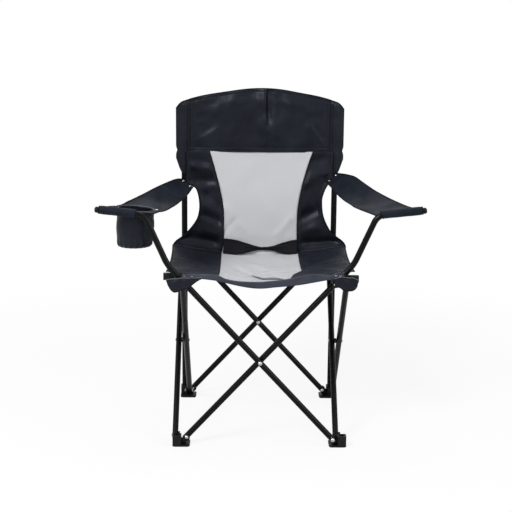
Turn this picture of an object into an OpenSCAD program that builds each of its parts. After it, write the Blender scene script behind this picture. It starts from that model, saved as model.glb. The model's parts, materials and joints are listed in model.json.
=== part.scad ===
// Folding armchair: a four-sided scissor frame of round tubes that gathers into an upright bundle,
// with a fabric seat and back, two fabric armrests and a hanging cup holder.
// X to the sitter's left as seen from the front, Y to the back, Z up, origin on the floor in the middle.

/* [Scissor frame] */
// From the middle of a side to its foot pivot, in mm
half_span = 184.5; // [180:0.5:190]
// Height of the foot pivots above the floor
foot_pivot_z = 20; // [19:0.5:24]
// Foot pivot to corner pivot along one cross tube
tube_span = 543; // [530:1:556]
// Outside diameter of the cross tubes
tube_d = 15; // [14:0.5:16]
// Wall of the cross tubes
tube_wall = 1.2; // [0.8:0.1:2]
// How far a cross tube runs on past its end pivot
tube_end = 7; // [6:0.5:8]
// From the middle of the chair to the centre plane of the inner tubes
inner_plane = 194; // [192:0.5:196]
// Thickness of the spacer between two crossing tubes
spacer_t = 4.5; // [4:0.1:6]

/* [Arm tubes] */
// First bend, measured from the middle of the chair
arm_bend_x = 229; // [224:1:234]
// Angle of the leaning stretch of an arm tube, from level
arm_lean = 65.9; // [62:0.1:70]
// Length of the leaning stretch, between its two bend points
arm_rise = 135.5; // [128:0.5:142]
// Angle of the rest stretch of an arm tube, from level
arm_level = 6; // [3:0.5:10]
// Length of the rest stretch past its bend point
arm_rest = 114.5; // [106:0.5:120]
// Radius of the first bend, at the tube's centre
arm_bend_r1 = 110; // [90:5:130]
// Radius of the second bend, at the tube's centre
arm_bend_r2 = 34; // [26:1:38]

/* [Back posts] */
// Outside diameter of a back post
post_d = 16; // [15:0.5:17]
// Wall of a back post
post_wall = 1.2; // [0.8:0.1:2]
// From the middle of the chair to a post's centre
post_offset = 208; // [207:0.5:209]
// Height of a post's top end
post_top = 826; // [815:1:850]

/* [Rivets] */
// Shank diameter of every rivet
rivet_d = 5; // [4:0.5:6]
// Head diameter of every rivet
rivet_head_d = 10; // [9:0.5:11]
// Height of a rivet's domed head
rivet_head_h = 2.2; // [1.8:0.1:2.6]
// Running clearance round a rivet
rivet_gap = 0.06; // [0.03:0.01:0.1]

/* [Feet and corners] */
// Width of a foot's square base
foot_w = 44; // [42:0.5:46]
// Thickness of a foot's base
foot_base_t = 5; // [4:0.5:6]
// Height of a foot's post socket
socket_h = 29; // [27:0.5:34]
// Outside width of a post socket
socket_w = 22; // [21.5:0.5:23]
// Clearance of a post in its socket or slider
post_gap = 0.1; // [0.05:0.05:0.3]
// Clearance between a lug and the tube that turns beside it
lug_gap = 0.3; // [0.2:0.05:0.5]
// Radius of a lug's round end
lug_r = 9; // [8:0.5:10]
// Height of a slider's sleeve on its post
slider_h = 28; // [24:1:32]
// Height of the horns that spread the front of the seat
horn_h = 16; // [14:0.5:18]
// Depth of a horn
horn_d = 14; // [12:0.5:16]
// How far a front horn's tip stands out past the seat's front corner
horn_out = 8; // [4:0.5:12]

/* [Fabric] */
// Thickness of the single fabric panels
cloth_t = 2.5; // [2:0.1:3]
// Height of the seat's front corners above the corner pivots
seat_front_rise = 32.6; // [31:0.1:38]
// Height of the seat's rear corners above the corner pivots
seat_rear_rise = 22.6; // [22:0.1:28]
// Half width of the seat at its front edge
seat_front_w = 232; // [228:0.5:236]
// Half width of the seat at its rear edge
seat_rear_w = 240; // [236:0.5:244]
// Sag of the seat's front edge at the middle
seat_front_sag = 25; // [15:1:32]
// Sag of the seat in its middle
seat_mid_sag = 44; // [30:1:60]
// Sag of the seat's rear edge at the middle
seat_rear_sag = 26; // [18:1:28]
// Half width of the mesh in the seat
seat_mesh_w = 106; // [90:1:120]
// Height of the hem that hangs at the front edge
hem_h = 15; // [10:1:20]
// Height of the headrest at its sides
head_depth = 133; // [122:1:142]
// Rise of the headrest's top edge in the middle
head_arch = 43; // [20:1:55]
// Half width over the headrest's sleeves
head_half_w = 230; // [226:1:236]
// Thickness of the padded headrest
head_t = 13; // [8:1:16]
// Half width of the back mesh at its top edge
mesh_top_w = 143; // [130:1:155]
// Half width of the back mesh at the waist
mesh_waist_w = 104.5; // [95:0.5:115]
// Width of an armrest's front edge, along the rest stretch
armrest_w = 138; // [125:1:145]
// Droop of the left armrest's inner edge in its middle
armrest_droop = 13; // [9:1:25]
// Droop of an armrest's outer edge in its middle
armrest_outer_droop = 5; // [2:1:14]
// How much less the right armrest's inner edge droops
right_tight = 4; // [0:1:8]
// Rise of the right armrest's rear inner corner over the left one's
right_tie_in = 12; // [0:1:14]
// Rise of the right armrest's rear outer corner over the left one's
right_tie_out = 14; // [0:1:15]
// Bulge of the right armrest's outer edge towards its rear
right_bulge = 8; // [0:1:10]

/* [Cup holder] */
// Outside diameter of the cup holder
cup_d = 90; // [84:1:93]
// Depth of the cup holder
cup_h = 100; // [90:1:120]
// Wall of the cup holder
cup_wall = 2; // [1.5:0.5:3]
// From the middle of the chair to the cup holder's centre
cup_x = 309; // [306:1:314]
// From the middle of the chair forward to the cup holder's centre
cup_y = 150; // [148:1:156]

/* [Hidden] */
$fn = 48;
eps = 0.01;

tube_r = tube_d / 2;
post_r = post_d / 2;
outer_plane = inner_plane + tube_d + spacer_t;
open_angle = acos(2 * half_span / tube_span);
corner_pivot_z = foot_pivot_z + tube_span * sin(open_angle);
cross_z = (foot_pivot_z + corner_pivot_z) / 2;
seat_front_z = corner_pivot_z + seat_front_rise;
seat_rear_z = corner_pivot_z + seat_rear_rise;
head_top = post_top + 6;
head_low = head_top - head_depth;
lug_in = inner_plane + tube_r + lug_gap;
lug_out = outer_plane - tube_r - lug_gap;
tube_reach = sqrt(tube_end * tube_end + tube_r * tube_r);
foot_in = half_span - lug_r;
socket_in = post_offset - socket_w / 2;
pad_out = foot_in + foot_w;
pad_r = 7;
recess_w = 6;
lug_top = lug_r + 1.5;
skin_y = outer_plane + tube_r + 3.5;
head_inner = post_offset - post_r - 8;

black_plastic = [0.07, 0.07, 0.08];
powder_coat = [0.10, 0.10, 0.11];
bright_steel = [0.78, 0.78, 0.80];
navy_cloth = [0.11, 0.12, 0.16];
grey_mesh = [0.72, 0.73, 0.75];

// Corners of an arm tube's centre line in the plane of its side: foot pivot end, two bends, free end
bend1 = [arm_bend_x, corner_pivot_z + (arm_bend_x - half_span) * tan(open_angle)];
bend2 = bend1 + arm_rise * [cos(arm_lean), sin(arm_lean)];
arm_tip = bend2 + arm_rest * [cos(arm_level), sin(arm_level)];

function lerp(a, b, t) = a + (b - a) * t;
function bow(t) = 4 * t * (1 - t);

// Plain building blocks

// A square with round corners, centred
module round_square(w, r) {
    square([w, w - 2 * r], center = true);
    square([w - 2 * r, w], center = true);
    for (sx = [-1, 1], sy = [-1, 1])
        translate([sx * (w / 2 - r), sy * (w / 2 - r)])
            circle(r);
}

// A solid of revolution along -Y from a point, used for shanks and bores across the front side
module across(from_y, to_y, r) {
    translate([0, from_y, 0])
        rotate([from_y > to_y ? 90 : -90, 0, 0])
            cylinder(h = abs(to_y - from_y), r = r);
}

// A domed head on the plane y, bulging towards side (-1 forward, 1 backward)
module rivet_head(y, side) {
    head_r = rivet_head_d / 2;
    ball_r = (head_r * head_r + rivet_head_h * rivet_head_h) / (2 * rivet_head_h);
    translate([0, y, 0])
        rotate([side < 0 ? 90 : -90, 0, 0])
            rotate_extrude()
                intersection() {
                    translate([0, rivet_head_h - ball_r])
                        circle(ball_r, $fn = 96);
                    square([head_r, rivet_head_h]);
                }
}

// Pivot bores of a tube that lies along X: bores at the given places
module pivot_bores(places) {
    for (x = places)
        translate([x, 0, 0])
            across(tube_d, -tube_d, rivet_d / 2 + rivet_gap);
}

// A straight cross tube in its own frame: middle at the origin, along X, with three bores
module straight_tube() {
    reach = tube_span / 2 + tube_end;
    difference() {
        rotate([0, 90, 0])
            cylinder(h = 2 * reach, r = tube_r, center = true);
        rotate([0, 90, 0])
            cylinder(h = 2 * reach + 2, r = tube_r - tube_wall, center = true);
        pivot_bores([-tube_span / 2, 0, tube_span / 2]);
    }
}

// The wall of a tube, swollen by a hair on both faces
module tube_section(swell) {
    difference() {
        circle(tube_r + swell);
        circle(tube_r - tube_wall - swell);
    }
}

// A straight stretch of a bent tube along X, from one place to another
module run(from_x, to_x) {
    translate([from_x, 0, 0])
        rotate([90, 0, 90])
            linear_extrude(to_x - from_x)
                tube_section(0);
}

// A bend that starts at the origin along +X and turns by angle towards +Z (side 1) or -Z (side -1).
// It is a hair thicker than the straight stretches, which reach into it a little at both ends.
bend_swell = 0.1;
lap = 1.5;

module bend(bend_r, angle, side) {
    translate([0, 0, side * bend_r])
        rotate([side > 0 ? 90 : -90, 0, 0])
            rotate([0, 0, -90])
                rotate_extrude(angle = angle, $fn = 96)
                    translate([bend_r, 0])
                        tube_section(bend_swell);
}

turn1 = arm_lean - open_angle;
turn2 = arm_lean - arm_level;
cut1 = arm_bend_r1 * tan(turn1 / 2);
cut2 = arm_bend_r2 * tan(turn2 / 2);
lower_run = tube_span + norm(bend1 - [half_span, corner_pivot_z]);

// A cross tube that runs on past its corner pivot into an arm, foot pivot at the origin
module arm_tube() {
    difference() {
        union() {
            run(-tube_end, lower_run - cut1 + lap);
            translate([lower_run - cut1, 0, 0])
                bend(arm_bend_r1, turn1, 1);
            translate([lower_run, 0, 0])
                rotate([0, -turn1, 0]) {
                    run(cut1 - lap, arm_rise - cut2 + lap);
                    translate([arm_rise - cut2, 0, 0])
                        bend(arm_bend_r2, turn2, -1);
                    translate([arm_rise, 0, 0])
                        rotate([0, turn2, 0])
                            run(cut2 - lap, arm_rest);
                }
        }
        pivot_bores([0, tube_span / 2, tube_span]);
    }
}

// The front side: outer tube from lower right to upper left, inner tube the other way
module outer_place() {
    translate([0, -outer_plane, cross_z])
        rotate([0, 0, 180])
            rotate([0, -open_angle, 0])
                children();
}

module inner_place() {
    translate([0, -inner_plane, cross_z])
        rotate([0, -open_angle, 0])
            children();
}

// The rivet through a crossing, with a domed head on each side
module cross_rivet_at() {
    translate([0, 0, cross_z]) {
        across(-inner_plane + tube_r + 0.1, -outer_plane - tube_r - 0.1, rivet_d / 2);
        rivet_head(-outer_plane - tube_r - 0.05, -1);
        rivet_head(-inner_plane + tube_r + 0.05, 1);
    }
}

module cross_spacer_at() {
    translate([0, 0, cross_z])
        difference() {
            across(-inner_plane - tube_r - 0.1, -outer_plane + tube_r + 0.1, rivet_d / 2 + 4);
            across(-inner_plane, -outer_plane, rivet_d / 2 + rivet_gap);
        }
}

// A lug plate of the outer tube of the front side: flat plate behind the tube, bored for its rivet
module lug_plate(x, z, low, high, inner_x) {
    difference() {
        union() {
            translate([min(x, inner_x), -lug_out, low])
                cube([abs(inner_x - x), lug_out - lug_in, high - low]);
            translate([x, 0, z])
                across(-lug_in, -lug_out, lug_r);
        }
        translate([x, 0, z])
            across(-lug_in + 1, -lug_out - 1, rivet_d / 2 + rivet_gap);
    }
}

// One foot, in the place of the front right foot
module foot_at() {
    centre = (foot_in + pad_out) / 2;
    difference() {
        union() {
            translate([centre, -centre, 0])
                linear_extrude(1.5)
                    round_square(foot_w - 3, pad_r - 1.5);
            translate([centre, -centre, 1.5])
                linear_extrude(foot_base_t - 1.5)
                    round_square(foot_w, pad_r);
            translate([post_offset, -post_offset, 1.5])
                linear_extrude(socket_h - 1.5)
                    round_square(socket_w, 3);
            lug_plate(half_span, foot_pivot_z, foot_base_t - 1, foot_pivot_z, socket_in + 1);
            rotate([0, 0, 90])
                lug_plate(-half_span, foot_pivot_z, foot_base_t - 1, foot_pivot_z, -socket_in - 1);
        }
        translate([post_offset, -post_offset, foot_base_t])
            cylinder(h = socket_h, r = post_r + post_gap);
        foot_recess();
        rotate([0, 0, 90])
            mirror([1, 0, 0])
                foot_recess();
    }
}

// The shallow square recess in a socket's outer face
module foot_recess() {
    translate([post_offset - recess_w / 2, -post_offset - socket_w / 2 - 1, socket_h / 2 - recess_w / 2])
        cube([recess_w, 2, recess_w]);
}

// The two rivets of a foot or a corner whose outer tube ends at x, and whose inner tube ends at y
module rivet_pair(x, z, turn) {
    translate([x, 0, z]) {
        across(-lug_in - 0.3, -outer_plane - tube_r - 0.1, rivet_d / 2);
        rivet_head(-outer_plane - tube_r - 0.05, -1);
    }
    rotate([0, 0, turn])
        translate([-x, 0, z]) {
            across(-inner_plane + tube_r + 0.1, -lug_out - 0.1, rivet_d / 2);
            rivet_head(-lug_out - 0.05, -1);
            rivet_head(-inner_plane + tube_r + 0.05, 1);
        }
}

module foot_rivets_at() {
    rivet_pair(half_span, foot_pivot_z, 90);
}

module corner_rivets_at() {
    rivet_pair(-half_span, corner_pivot_z, -90);
}

// The two lug plates of a corner, in the place of the front left corner
module corner_lugs() {
    low = corner_pivot_z - lug_r;
    high = corner_pivot_z + lug_top;
    lug_plate(-half_span, corner_pivot_z, corner_pivot_z, high, -lug_out);
    lug_plate(-half_span, corner_pivot_z, low + 1, corner_pivot_z, -lug_out);
    rotate([0, 0, -90]) {
        lug_plate(half_span, corner_pivot_z, corner_pivot_z, high, lug_out);
        lug_plate(half_span, corner_pivot_z, low + 1, corner_pivot_z, lug_out);
    }
}

horn_low = seat_front_z - cloth_t - 5.5 - horn_h;
horn_recess = 1.2;

// A horn along X from the given start to its tip, with a square recess in the tip
module horn(start, tip, y, low, height) {
    difference() {
        translate([start, y, low])
            cube([tip - start, horn_d, height]);
        translate([tip - horn_recess, y + horn_d / 2 - recess_w / 2, low + height / 2 - recess_w / 2])
            cube([2 * horn_recess, recess_w, recess_w]);
    }
}

// A slider in the place of the front left corner: sleeve on the post, lugs and a seat horn
slider_low = corner_pivot_z - lug_r;
slider_horn_h = 14;
slider_horn_low = seat_rear_z - cloth_t - 6 - slider_horn_h;

module rear_horn() {
    horn(post_offset + post_r + 1, seat_rear_w, post_offset - horn_d / 2, slider_horn_low, slider_horn_h);
}

module slider_at() {
    difference() {
        union() {
            translate([-post_offset, -post_offset, slider_low])
                linear_extrude(min(slider_h, slider_horn_low + slider_horn_h - slider_low))
                    round_square(socket_w, 3);
            corner_lugs();
        }
        translate([-post_offset, -post_offset, slider_low - 1])
            cylinder(h = slider_h + 2, r = post_r + post_gap);
    }
}

// Rigid pieces of each side and corner

module rear_left_foot() {
    color(black_plastic)
        rotate([0, 0, 180])
            foot_at();
}

module rear_right_foot() {
    color(black_plastic)
        rotate([0, 0, 90])
            foot_at();
}

module front_left_foot() {
    color(black_plastic)
        rotate([0, 0, 270])
            foot_at();
}

module front_right_foot() {
    color(black_plastic)
        foot_at();
}

module rear_left_foot_rivets() {
    color(bright_steel)
        rotate([0, 0, 180])
            foot_rivets_at();
}

module rear_right_foot_rivets() {
    color(bright_steel)
        rotate([0, 0, 90])
            foot_rivets_at();
}

module front_left_foot_rivets() {
    color(bright_steel)
        rotate([0, 0, 270])
            foot_rivets_at();
}

module front_right_foot_rivets() {
    color(bright_steel)
        foot_rivets_at();
}

// A back post stands in its rear foot's socket
module post_at(x) {
    translate([x, post_offset, foot_base_t])
        difference() {
            cylinder(h = post_top - foot_base_t, r = post_r);
            translate([0, 0, -1])
                cylinder(h = post_top - foot_base_t + 2, r = post_r - post_wall);
        }
}

// The plug in a post's top end, with a low dome over the rim
cap_t = 2.5;

module post_cap_at(x) {
    translate([x, post_offset, post_top]) {
        cylinder(h = cap_t, r = post_r);
        translate([0, 0, -10])
            cylinder(h = 10 + eps, r = post_r - post_wall - 0.05);
    }
}

module left_back_post() {
    color(powder_coat)
        post_at(-post_offset);
}

module right_back_post() {
    color(powder_coat)
        post_at(post_offset);
}

module left_post_cap() {
    color(black_plastic)
        post_cap_at(-post_offset);
}

module right_post_cap() {
    color(black_plastic)
        post_cap_at(post_offset);
}

// The front outer tube runs on into the arm on the left, the front inner tube into the arm on the right
module front_outer_tube() {
    color(powder_coat)
        outer_place()
            translate([-tube_span / 2, 0, 0])
                arm_tube();
}

module front_inner_tube() {
    color(powder_coat)
        inner_place()
            translate([-tube_span / 2, 0, 0])
                arm_tube();
}

module right_outer_tube() {
    color(powder_coat)
        rotate([0, 0, 90])
            outer_place()
                straight_tube();
}

module right_inner_tube() {
    color(powder_coat)
        rotate([0, 0, 90])
            inner_place()
                straight_tube();
}

module rear_outer_tube() {
    color(powder_coat)
        rotate([0, 0, 180])
            outer_place()
                straight_tube();
}

module rear_inner_tube() {
    color(powder_coat)
        rotate([0, 0, 180])
            inner_place()
                straight_tube();
}

module left_outer_tube() {
    color(powder_coat)
        rotate([0, 0, 270])
            outer_place()
                straight_tube();
}

module left_inner_tube() {
    color(powder_coat)
        rotate([0, 0, 270])
            inner_place()
                straight_tube();
}

module front_cross_rivet() {
    color(bright_steel)
        cross_rivet_at();
}

module right_cross_rivet() {
    color(bright_steel)
        rotate([0, 0, 90])
            cross_rivet_at();
}

module rear_cross_rivet() {
    color(bright_steel)
        rotate([0, 0, 180])
            cross_rivet_at();
}

module left_cross_rivet() {
    color(bright_steel)
        rotate([0, 0, 270])
            cross_rivet_at();
}

module front_cross_spacer() {
    color(black_plastic)
        cross_spacer_at();
}

module right_cross_spacer() {
    color(black_plastic)
        rotate([0, 0, 90])
            cross_spacer_at();
}

module rear_cross_spacer() {
    color(black_plastic)
        rotate([0, 0, 180])
            cross_spacer_at();
}

module left_cross_spacer() {
    color(black_plastic)
        rotate([0, 0, 270])
            cross_spacer_at();
}

// The left horn lies behind the arm tube that passes it
module front_left_corner() {
    color(black_plastic)
        union() {
            corner_lugs();
            mirror([1, 0, 0])
                horn(lug_in, seat_front_w + horn_out, -lug_out + 1, horn_low, horn_h);
            translate([-lug_out, -lug_out, corner_pivot_z])
                cube([lug_out - lug_in, horn_d, horn_low + horn_h - corner_pivot_z]);
        }
}

// The right horn lies in front of the arm tube that passes it, whose way out is cut free
module front_right_corner() {
    clear_y = inner_plane - tube_r - 1;
    color(black_plastic)
        union() {
            difference() {
                rotate([0, 0, 90])
                    corner_lugs();
                translate([lug_in - 1, -lug_in + eps, corner_pivot_z + 4.5])
                    cube([lug_out - lug_in + 2, lug_in - clear_y, lug_top]);
            }
            translate([half_span + 7, -lug_out, corner_pivot_z])
                cube([lug_in - half_span - 7, lug_out - lug_in, horn_low + horn_h - corner_pivot_z]);
            horn(half_span + 7, seat_front_w + horn_out, -lug_out - horn_d + 1, horn_low, horn_h);
        }
}

module rear_left_slider() {
    color(black_plastic)
        union() {
            rotate([0, 0, 270])
                slider_at();
            mirror([1, 0, 0])
                rear_horn();
        }
}

module rear_right_slider() {
    color(black_plastic)
        union() {
            rotate([0, 0, 180])
                slider_at();
            rear_horn();
        }
}

module front_left_corner_rivets() {
    color(bright_steel)
        corner_rivets_at();
}

module front_right_corner_rivets() {
    color(bright_steel)
        rotate([0, 0, 90])
            corner_rivets_at();
}

module rear_right_slider_rivets() {
    color(bright_steel)
        rotate([0, 0, 180])
            corner_rivets_at();
}

module rear_left_slider_rivets() {
    color(bright_steel)
        rotate([0, 0, 270])
            corner_rivets_at();
}

// Pieces at the free end of an arm tube, which lies along +X from its second bend
sleeve_r = tube_r + 4;
sleeve_start = cut2 + 1;

module arm_end_place(side, plane) {
    scale_x = side;
    mirror([scale_x < 0 ? 1 : 0, 0, 0])
        translate([bend2[0], -plane, bend2[1]])
            rotate([0, -arm_level, 0])
                children();
}

module arm_cap() {
    translate([arm_rest, 0, 0])
        rotate([0, 90, 0]) {
            translate([0, 0, -10])
                cylinder(h = 10 + eps, r = tube_r - tube_wall - 0.05);
            cylinder(h = 3, r = tube_r);
            translate([0, 0, 3])
                cylinder(h = 3, r1 = tube_r, r2 = tube_r - 3);
        }
}

module arm_sleeve() {
    translate([sleeve_start, 0, 0])
        rotate([0, 90, 0])
            difference() {
                cylinder(h = arm_rest - sleeve_start - 4, r = sleeve_r);
                translate([0, 0, -1])
                    cylinder(h = arm_rest, r = tube_r + 0.3);
            }
}

module left_arm_cap() {
    color(black_plastic)
        arm_end_place(-1, outer_plane)
            arm_cap();
}

module right_arm_cap() {
    color(black_plastic)
        arm_end_place(1, inner_plane)
            arm_cap();
}

module left_arm_sleeve() {
    color(navy_cloth)
        arm_end_place(-1, outer_plane)
            arm_sleeve();
}

module right_arm_sleeve() {
    color(navy_cloth)
        arm_end_place(1, inner_plane)
            arm_sleeve();
}

// Fabric: every panel is a closed skin between two grids of points of the same size
module panel(top, under) {
    rows = len(top);
    cols = len(top[0]);
    points = concat([for (r = top) each r], [for (r = under) each r]);
    n = rows * cols;
    function id(r, c) = r * cols + c;
    top_faces = [for (r = [0:rows - 2], c = [0:cols - 2])
        each [[id(r, c), id(r + 1, c), id(r + 1, c + 1)], [id(r, c), id(r + 1, c + 1), id(r, c + 1)]]];
    under_faces = [for (f = top_faces) [n + f[2], n + f[1], n + f[0]]];
    rim = concat(
        [for (c = [0:cols - 2]) [id(0, c), id(0, c + 1)]],
        [for (r = [0:rows - 2]) [id(r, cols - 1), id(r + 1, cols - 1)]],
        [for (c = [cols - 2:-1:0]) [id(rows - 1, c + 1), id(rows - 1, c)]],
        [for (r = [rows - 2:-1:0]) [id(r + 1, 0), id(r, 0)]]);
    rim_faces = [for (e = rim)
        each [[e[0], e[1], n + e[1]], [e[0], n + e[1], n + e[0]]]];
    polyhedron(points, concat(top_faces, under_faces, rim_faces), convexity = 6);
}

// A grid of points from a function's values, moved by a step to give its other face
function shifted(grid, step) = [for (r = grid) [for (p = r) p + step]];

// Height of the seat cloth: level at its side edges, sagging like a hammock between them
seat_front_y = -skin_y;
seat_rear_y = inner_plane - 1;
function along(y) = (y - seat_front_y) / (seat_rear_y - seat_front_y);
function seat_w(t) = lerp(seat_front_w, seat_rear_w, t) - 9 * bow(t);
function seat_sag(t) = t < 0.5
    ? lerp(seat_front_sag, seat_mid_sag, sin(180 * t))
    : lerp(seat_rear_sag, seat_mid_sag, sin(180 * t));
function seat_z(x, y) =
    let (t = along(y), edge = lerp(seat_front_z, seat_rear_z, t) - 4 * bow(t),
         share = min(1, abs(x) / seat_w(t)))
    edge - seat_sag(t) * (1 - pow(share, lerp(0.8, 1.6, t)));

function spread(a, b, steps) = [for (i = [0:steps]) lerp(a, b, i / steps)];

// Seat points between two shares of the width, from one Y to another
function seat_grid(y0, y1, ny, from_side, steps) = [
    for (y = spread(y0, y1, ny))
        [for (s = spread(0, 1, steps))
            let (w = seat_w(along(y)), x = from_side == 0 ? lerp(-seat_mesh_w, seat_mesh_w, s)
                : from_side < 0 ? lerp(-w, -seat_mesh_w, s) : lerp(seat_mesh_w, w, s))
            [x, y, seat_z(x, y)]]];

module seat_part(y0, y1, ny, side, steps) {
    grid = seat_grid(y0, y1, ny, side, steps);
    panel(shifted(grid, [0, 0, -cloth_t]), grid);
}

seat_split = 0;
half_gap = 0.2;

module seat_mesh_front() {
    color(grey_mesh)
        seat_part(seat_front_y, seat_split - half_gap, 6, 0, 10);
}

module seat_mesh_rear() {
    color(grey_mesh)
        seat_part(seat_split + half_gap, seat_rear_y, 6, 0, 10);
}

// A front corner of the seat is cut back where an arm tube rises through it
module corner_cut(side, plane) {
    inner_x = half_span - 8;
    reach = seat_front_w + 20 - inner_x;
    depth = -seat_front_y + 10 - plane + tube_r + 2;
    translate([side > 0 ? inner_x : -inner_x - reach, seat_front_y - 10, corner_pivot_z])
        cube([reach, depth, 2 * seat_front_rise]);
}

module seat_sides_front() {
    color(navy_cloth)
        difference() {
            union() {
                seat_part(seat_front_y, seat_split - half_gap, 6, -1, 5);
                seat_part(seat_front_y, seat_split - half_gap, 6, 1, 5);
            }
            corner_cut(-1, outer_plane);
            corner_cut(1, inner_plane);
        }
}

module seat_sides_rear() {
    color(navy_cloth) {
        seat_part(seat_split + half_gap, seat_rear_y, 6, -1, 5);
        seat_part(seat_split + half_gap, seat_rear_y, 6, 1, 5);
    }
}

// The hem hangs from the seat's front edge between the two corner pockets
hem_half = seat_front_w - 89;
hem_y = seat_front_y - 0.5;

module seat_front_hem() {
    top = [for (x = spread(-hem_half, hem_half, 16)) [x, hem_y, seat_z(x, seat_front_y)]];
    low = [for (p = top) p - [0, 0, hem_h * lerp(0.75, 1, 1 - abs(p[0]) / hem_half)]];
    front = [low, top];
    color(navy_cloth)
        panel(shifted(front, [0, -cloth_t, 0]), front);
}

// A pocket's front flap, as seen from the front, on the left
flap_top = seat_front_z - 4;
flap_drop = 41;
flap = [
    [-seat_front_w - 5, flap_top - 3], [-seat_front_w - 4, flap_top - 0.32 * flap_drop],
    [-seat_front_w + 14, flap_top - flap_drop], [-seat_front_w + 32, flap_top - flap_drop],
    [-seat_front_w + 51, flap_top - 0.85 * flap_drop], [-hem_half - 3, flap_top - hem_h],
    [-hem_half - 3, flap_top - 5]
];

module pocket_flap() {
    translate([0, hem_y, 0])
        rotate([90, 0, 0])
            linear_extrude(cloth_t)
                polygon(flap);
}

module left_corner_pocket() {
    color(navy_cloth)
        pocket_flap();
}

module right_corner_pocket() {
    color(navy_cloth)
        mirror([1, 0, 0])
            pocket_flap();
}

// The back hangs between the posts: its plane leans forward from the headrest down to the seat
back_top_y = post_offset - 2;
back_low_y = seat_rear_y + 3;
back_low_z = seat_rear_z - 11;
function back_y(z) = lerp(back_low_y, back_top_y, min(1, (z - back_low_z) / (head_low - 20 - back_low_z)));

// Half widths of the mesh and of the back's outer edge at a height
waist_z = seat_rear_z + 106;
function mesh_w(z) = z > waist_z
    ? lerp(mesh_waist_w, mesh_top_w, pow((z - waist_z) / (head_low - waist_z), 1.15))
    : mesh_waist_w - 2 * (waist_z - z) / (waist_z - back_low_z);
top_w = head_inner - 0.2;
waist_w = top_w - 24.8;
shoulder_z = head_low - 59;
hip_z = seat_rear_z + 25;
hip_w = seat_rear_w - 36;
function back_w(z) =
    z > shoulder_z ? top_w
    : z > waist_z ? lerp(waist_w, top_w, pow((z - waist_z) / (shoulder_z - waist_z), 1.6))
    : z > hip_z ? lerp(waist_w, hip_w, pow((waist_z - z) / (waist_z - hip_z), 1.8))
    : lerp(hip_w, seat_rear_w - 2, (hip_z - z) / (hip_z - back_foot(1)));

// The back's lower edge follows the seat's rear edge, at a share of the half width
function back_foot(share) = seat_rear_z - seat_rear_sag * (1 - pow(share, 1.6)) + 0.5;
mesh_share = mesh_waist_w / seat_rear_w;
back_rows = 16;

strap_top = seat_rear_z + 18;
strap_low = seat_rear_z - 19;
strap_half = mesh_waist_w - 3.5;
pinch = 12;

module back_mesh() {
    grid = [for (h = spread(0, 1, back_rows))
        [for (s = spread(-1, 1, 8))
            let (z = lerp(back_foot(abs(s) * mesh_share), head_low - half_gap, h))
            [s * mesh_w(z), back_y(z) + 5 * bow((s + 1) / 2), z]]];
    color(grey_mesh)
        panel(grid, shifted(grid, [0, -cloth_t, 0]));
}

// A side panel with two soft folds that run down to the hip
function fold(s, z) =
    2.2 * sin(360 * (1.4 * s + (z - hip_z) / 150)) * bow(s) * max(0, min(1, (z - hip_z + 21) / 50, (head_low - 2 - z) / 60));

module back_panel_right() {
    grid = [for (h = spread(0, 1, back_rows))
        [for (s = spread(0, 1, 6))
            let (z = lerp(back_foot(lerp(mesh_share, 1, s)), head_low - half_gap, h),
                 x = lerp(mesh_w(z) + 2 * half_gap, back_w(z), s))
            [x, back_y(z) + fold(s, z), z]]];
    panel(grid, shifted(grid, [0, -cloth_t, 0]));
}

module right_back_panel() {
    color(navy_cloth)
        back_panel_right();
}

module left_back_panel() {
    color(navy_cloth)
        mirror([1, 0, 0])
            back_panel_right();
}

// The dark strap across the small of the back, gathered in the middle
module lumbar_strap() {
    outline = [
        [-strap_half, strap_top], [0, strap_top - 1.4 * pinch], [pinch, strap_top - 1.5 * pinch],
        [strap_half, strap_top], [strap_half, strap_low], [pinch, strap_low + 0.85 * pinch],
        [0, strap_low + 0.75 * pinch], [-strap_half, strap_low]
    ];
    color(navy_cloth)
        translate([0, back_low_y - cloth_t - 0.8, 0])
            rotate([90, 0, 0])
                linear_extrude(cloth_t)
                    polygon(outline);
}

// The headrest: a padded band with an arched top between the two sleeves
module headrest() {
    grid_at = function (side) [for (h = spread(0, 1, 7))
        [for (s = spread(-1, 1, 12))
            let (top = arch_z(s * head_inner),
                 swell = head_t / 2 * (0.35 + 0.65 * sqrt(bow((s + 1) / 2) * bow(h))))
            [s * head_inner, post_offset + side * swell, lerp(head_low, top, h)]]];
    color(navy_cloth)
        panel(grid_at(1), grid_at(-1));
}

// A sleeve that is pulled over a post: flat edges on both sides of the post's round, a sloping top
// that carries on the headrest's arch, and a tuck at its lower end
sleeve_low = head_low - 49;
sleeve_tuck = head_low - 19;
function arch_z(x) = head_top + head_arch * (1 - pow(abs(x) / head_half_w, 2));

module head_sleeve_right() {
    round_r = post_r + 3;
    outer_flat = head_half_w - post_offset;
    inner_flat = head_inner + 0.3 - post_offset;
    top = arch_z(head_inner);
    translate([post_offset, post_offset, 0])
        difference() {
            intersection() {
                translate([0, 0, sleeve_low])
                    union() {
                        cylinder(h = top - sleeve_low, r = round_r);
                        linear_extrude(top - sleeve_low)
                            polygon([[inner_flat, 2], [-4, round_r - 1.2], [4, round_r - 1.2], [outer_flat, 2],
                                [outer_flat, -2], [4, 1.2 - round_r], [-4, 1.2 - round_r], [inner_flat, -2]]);
                    }
                rotate([90, 0, 0])
                    translate([0, 0, -round_r - 1])
                        linear_extrude(2 * round_r + 2)
                            polygon([[inner_flat, sleeve_low + 6], [inner_flat, top],
                                [0, arch_z(post_offset)], [outer_flat, head_top],
                                [outer_flat, sleeve_tuck], [7, sleeve_low], [-9, sleeve_low]]);
            }
            translate([0, 0, sleeve_low - 1])
                cylinder(h = post_top + cap_t + 0.5 - sleeve_low + 1, r = post_r + 0.3);
        }
}

module right_head_sleeve() {
    color(navy_cloth)
        head_sleeve_right();
}

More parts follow.
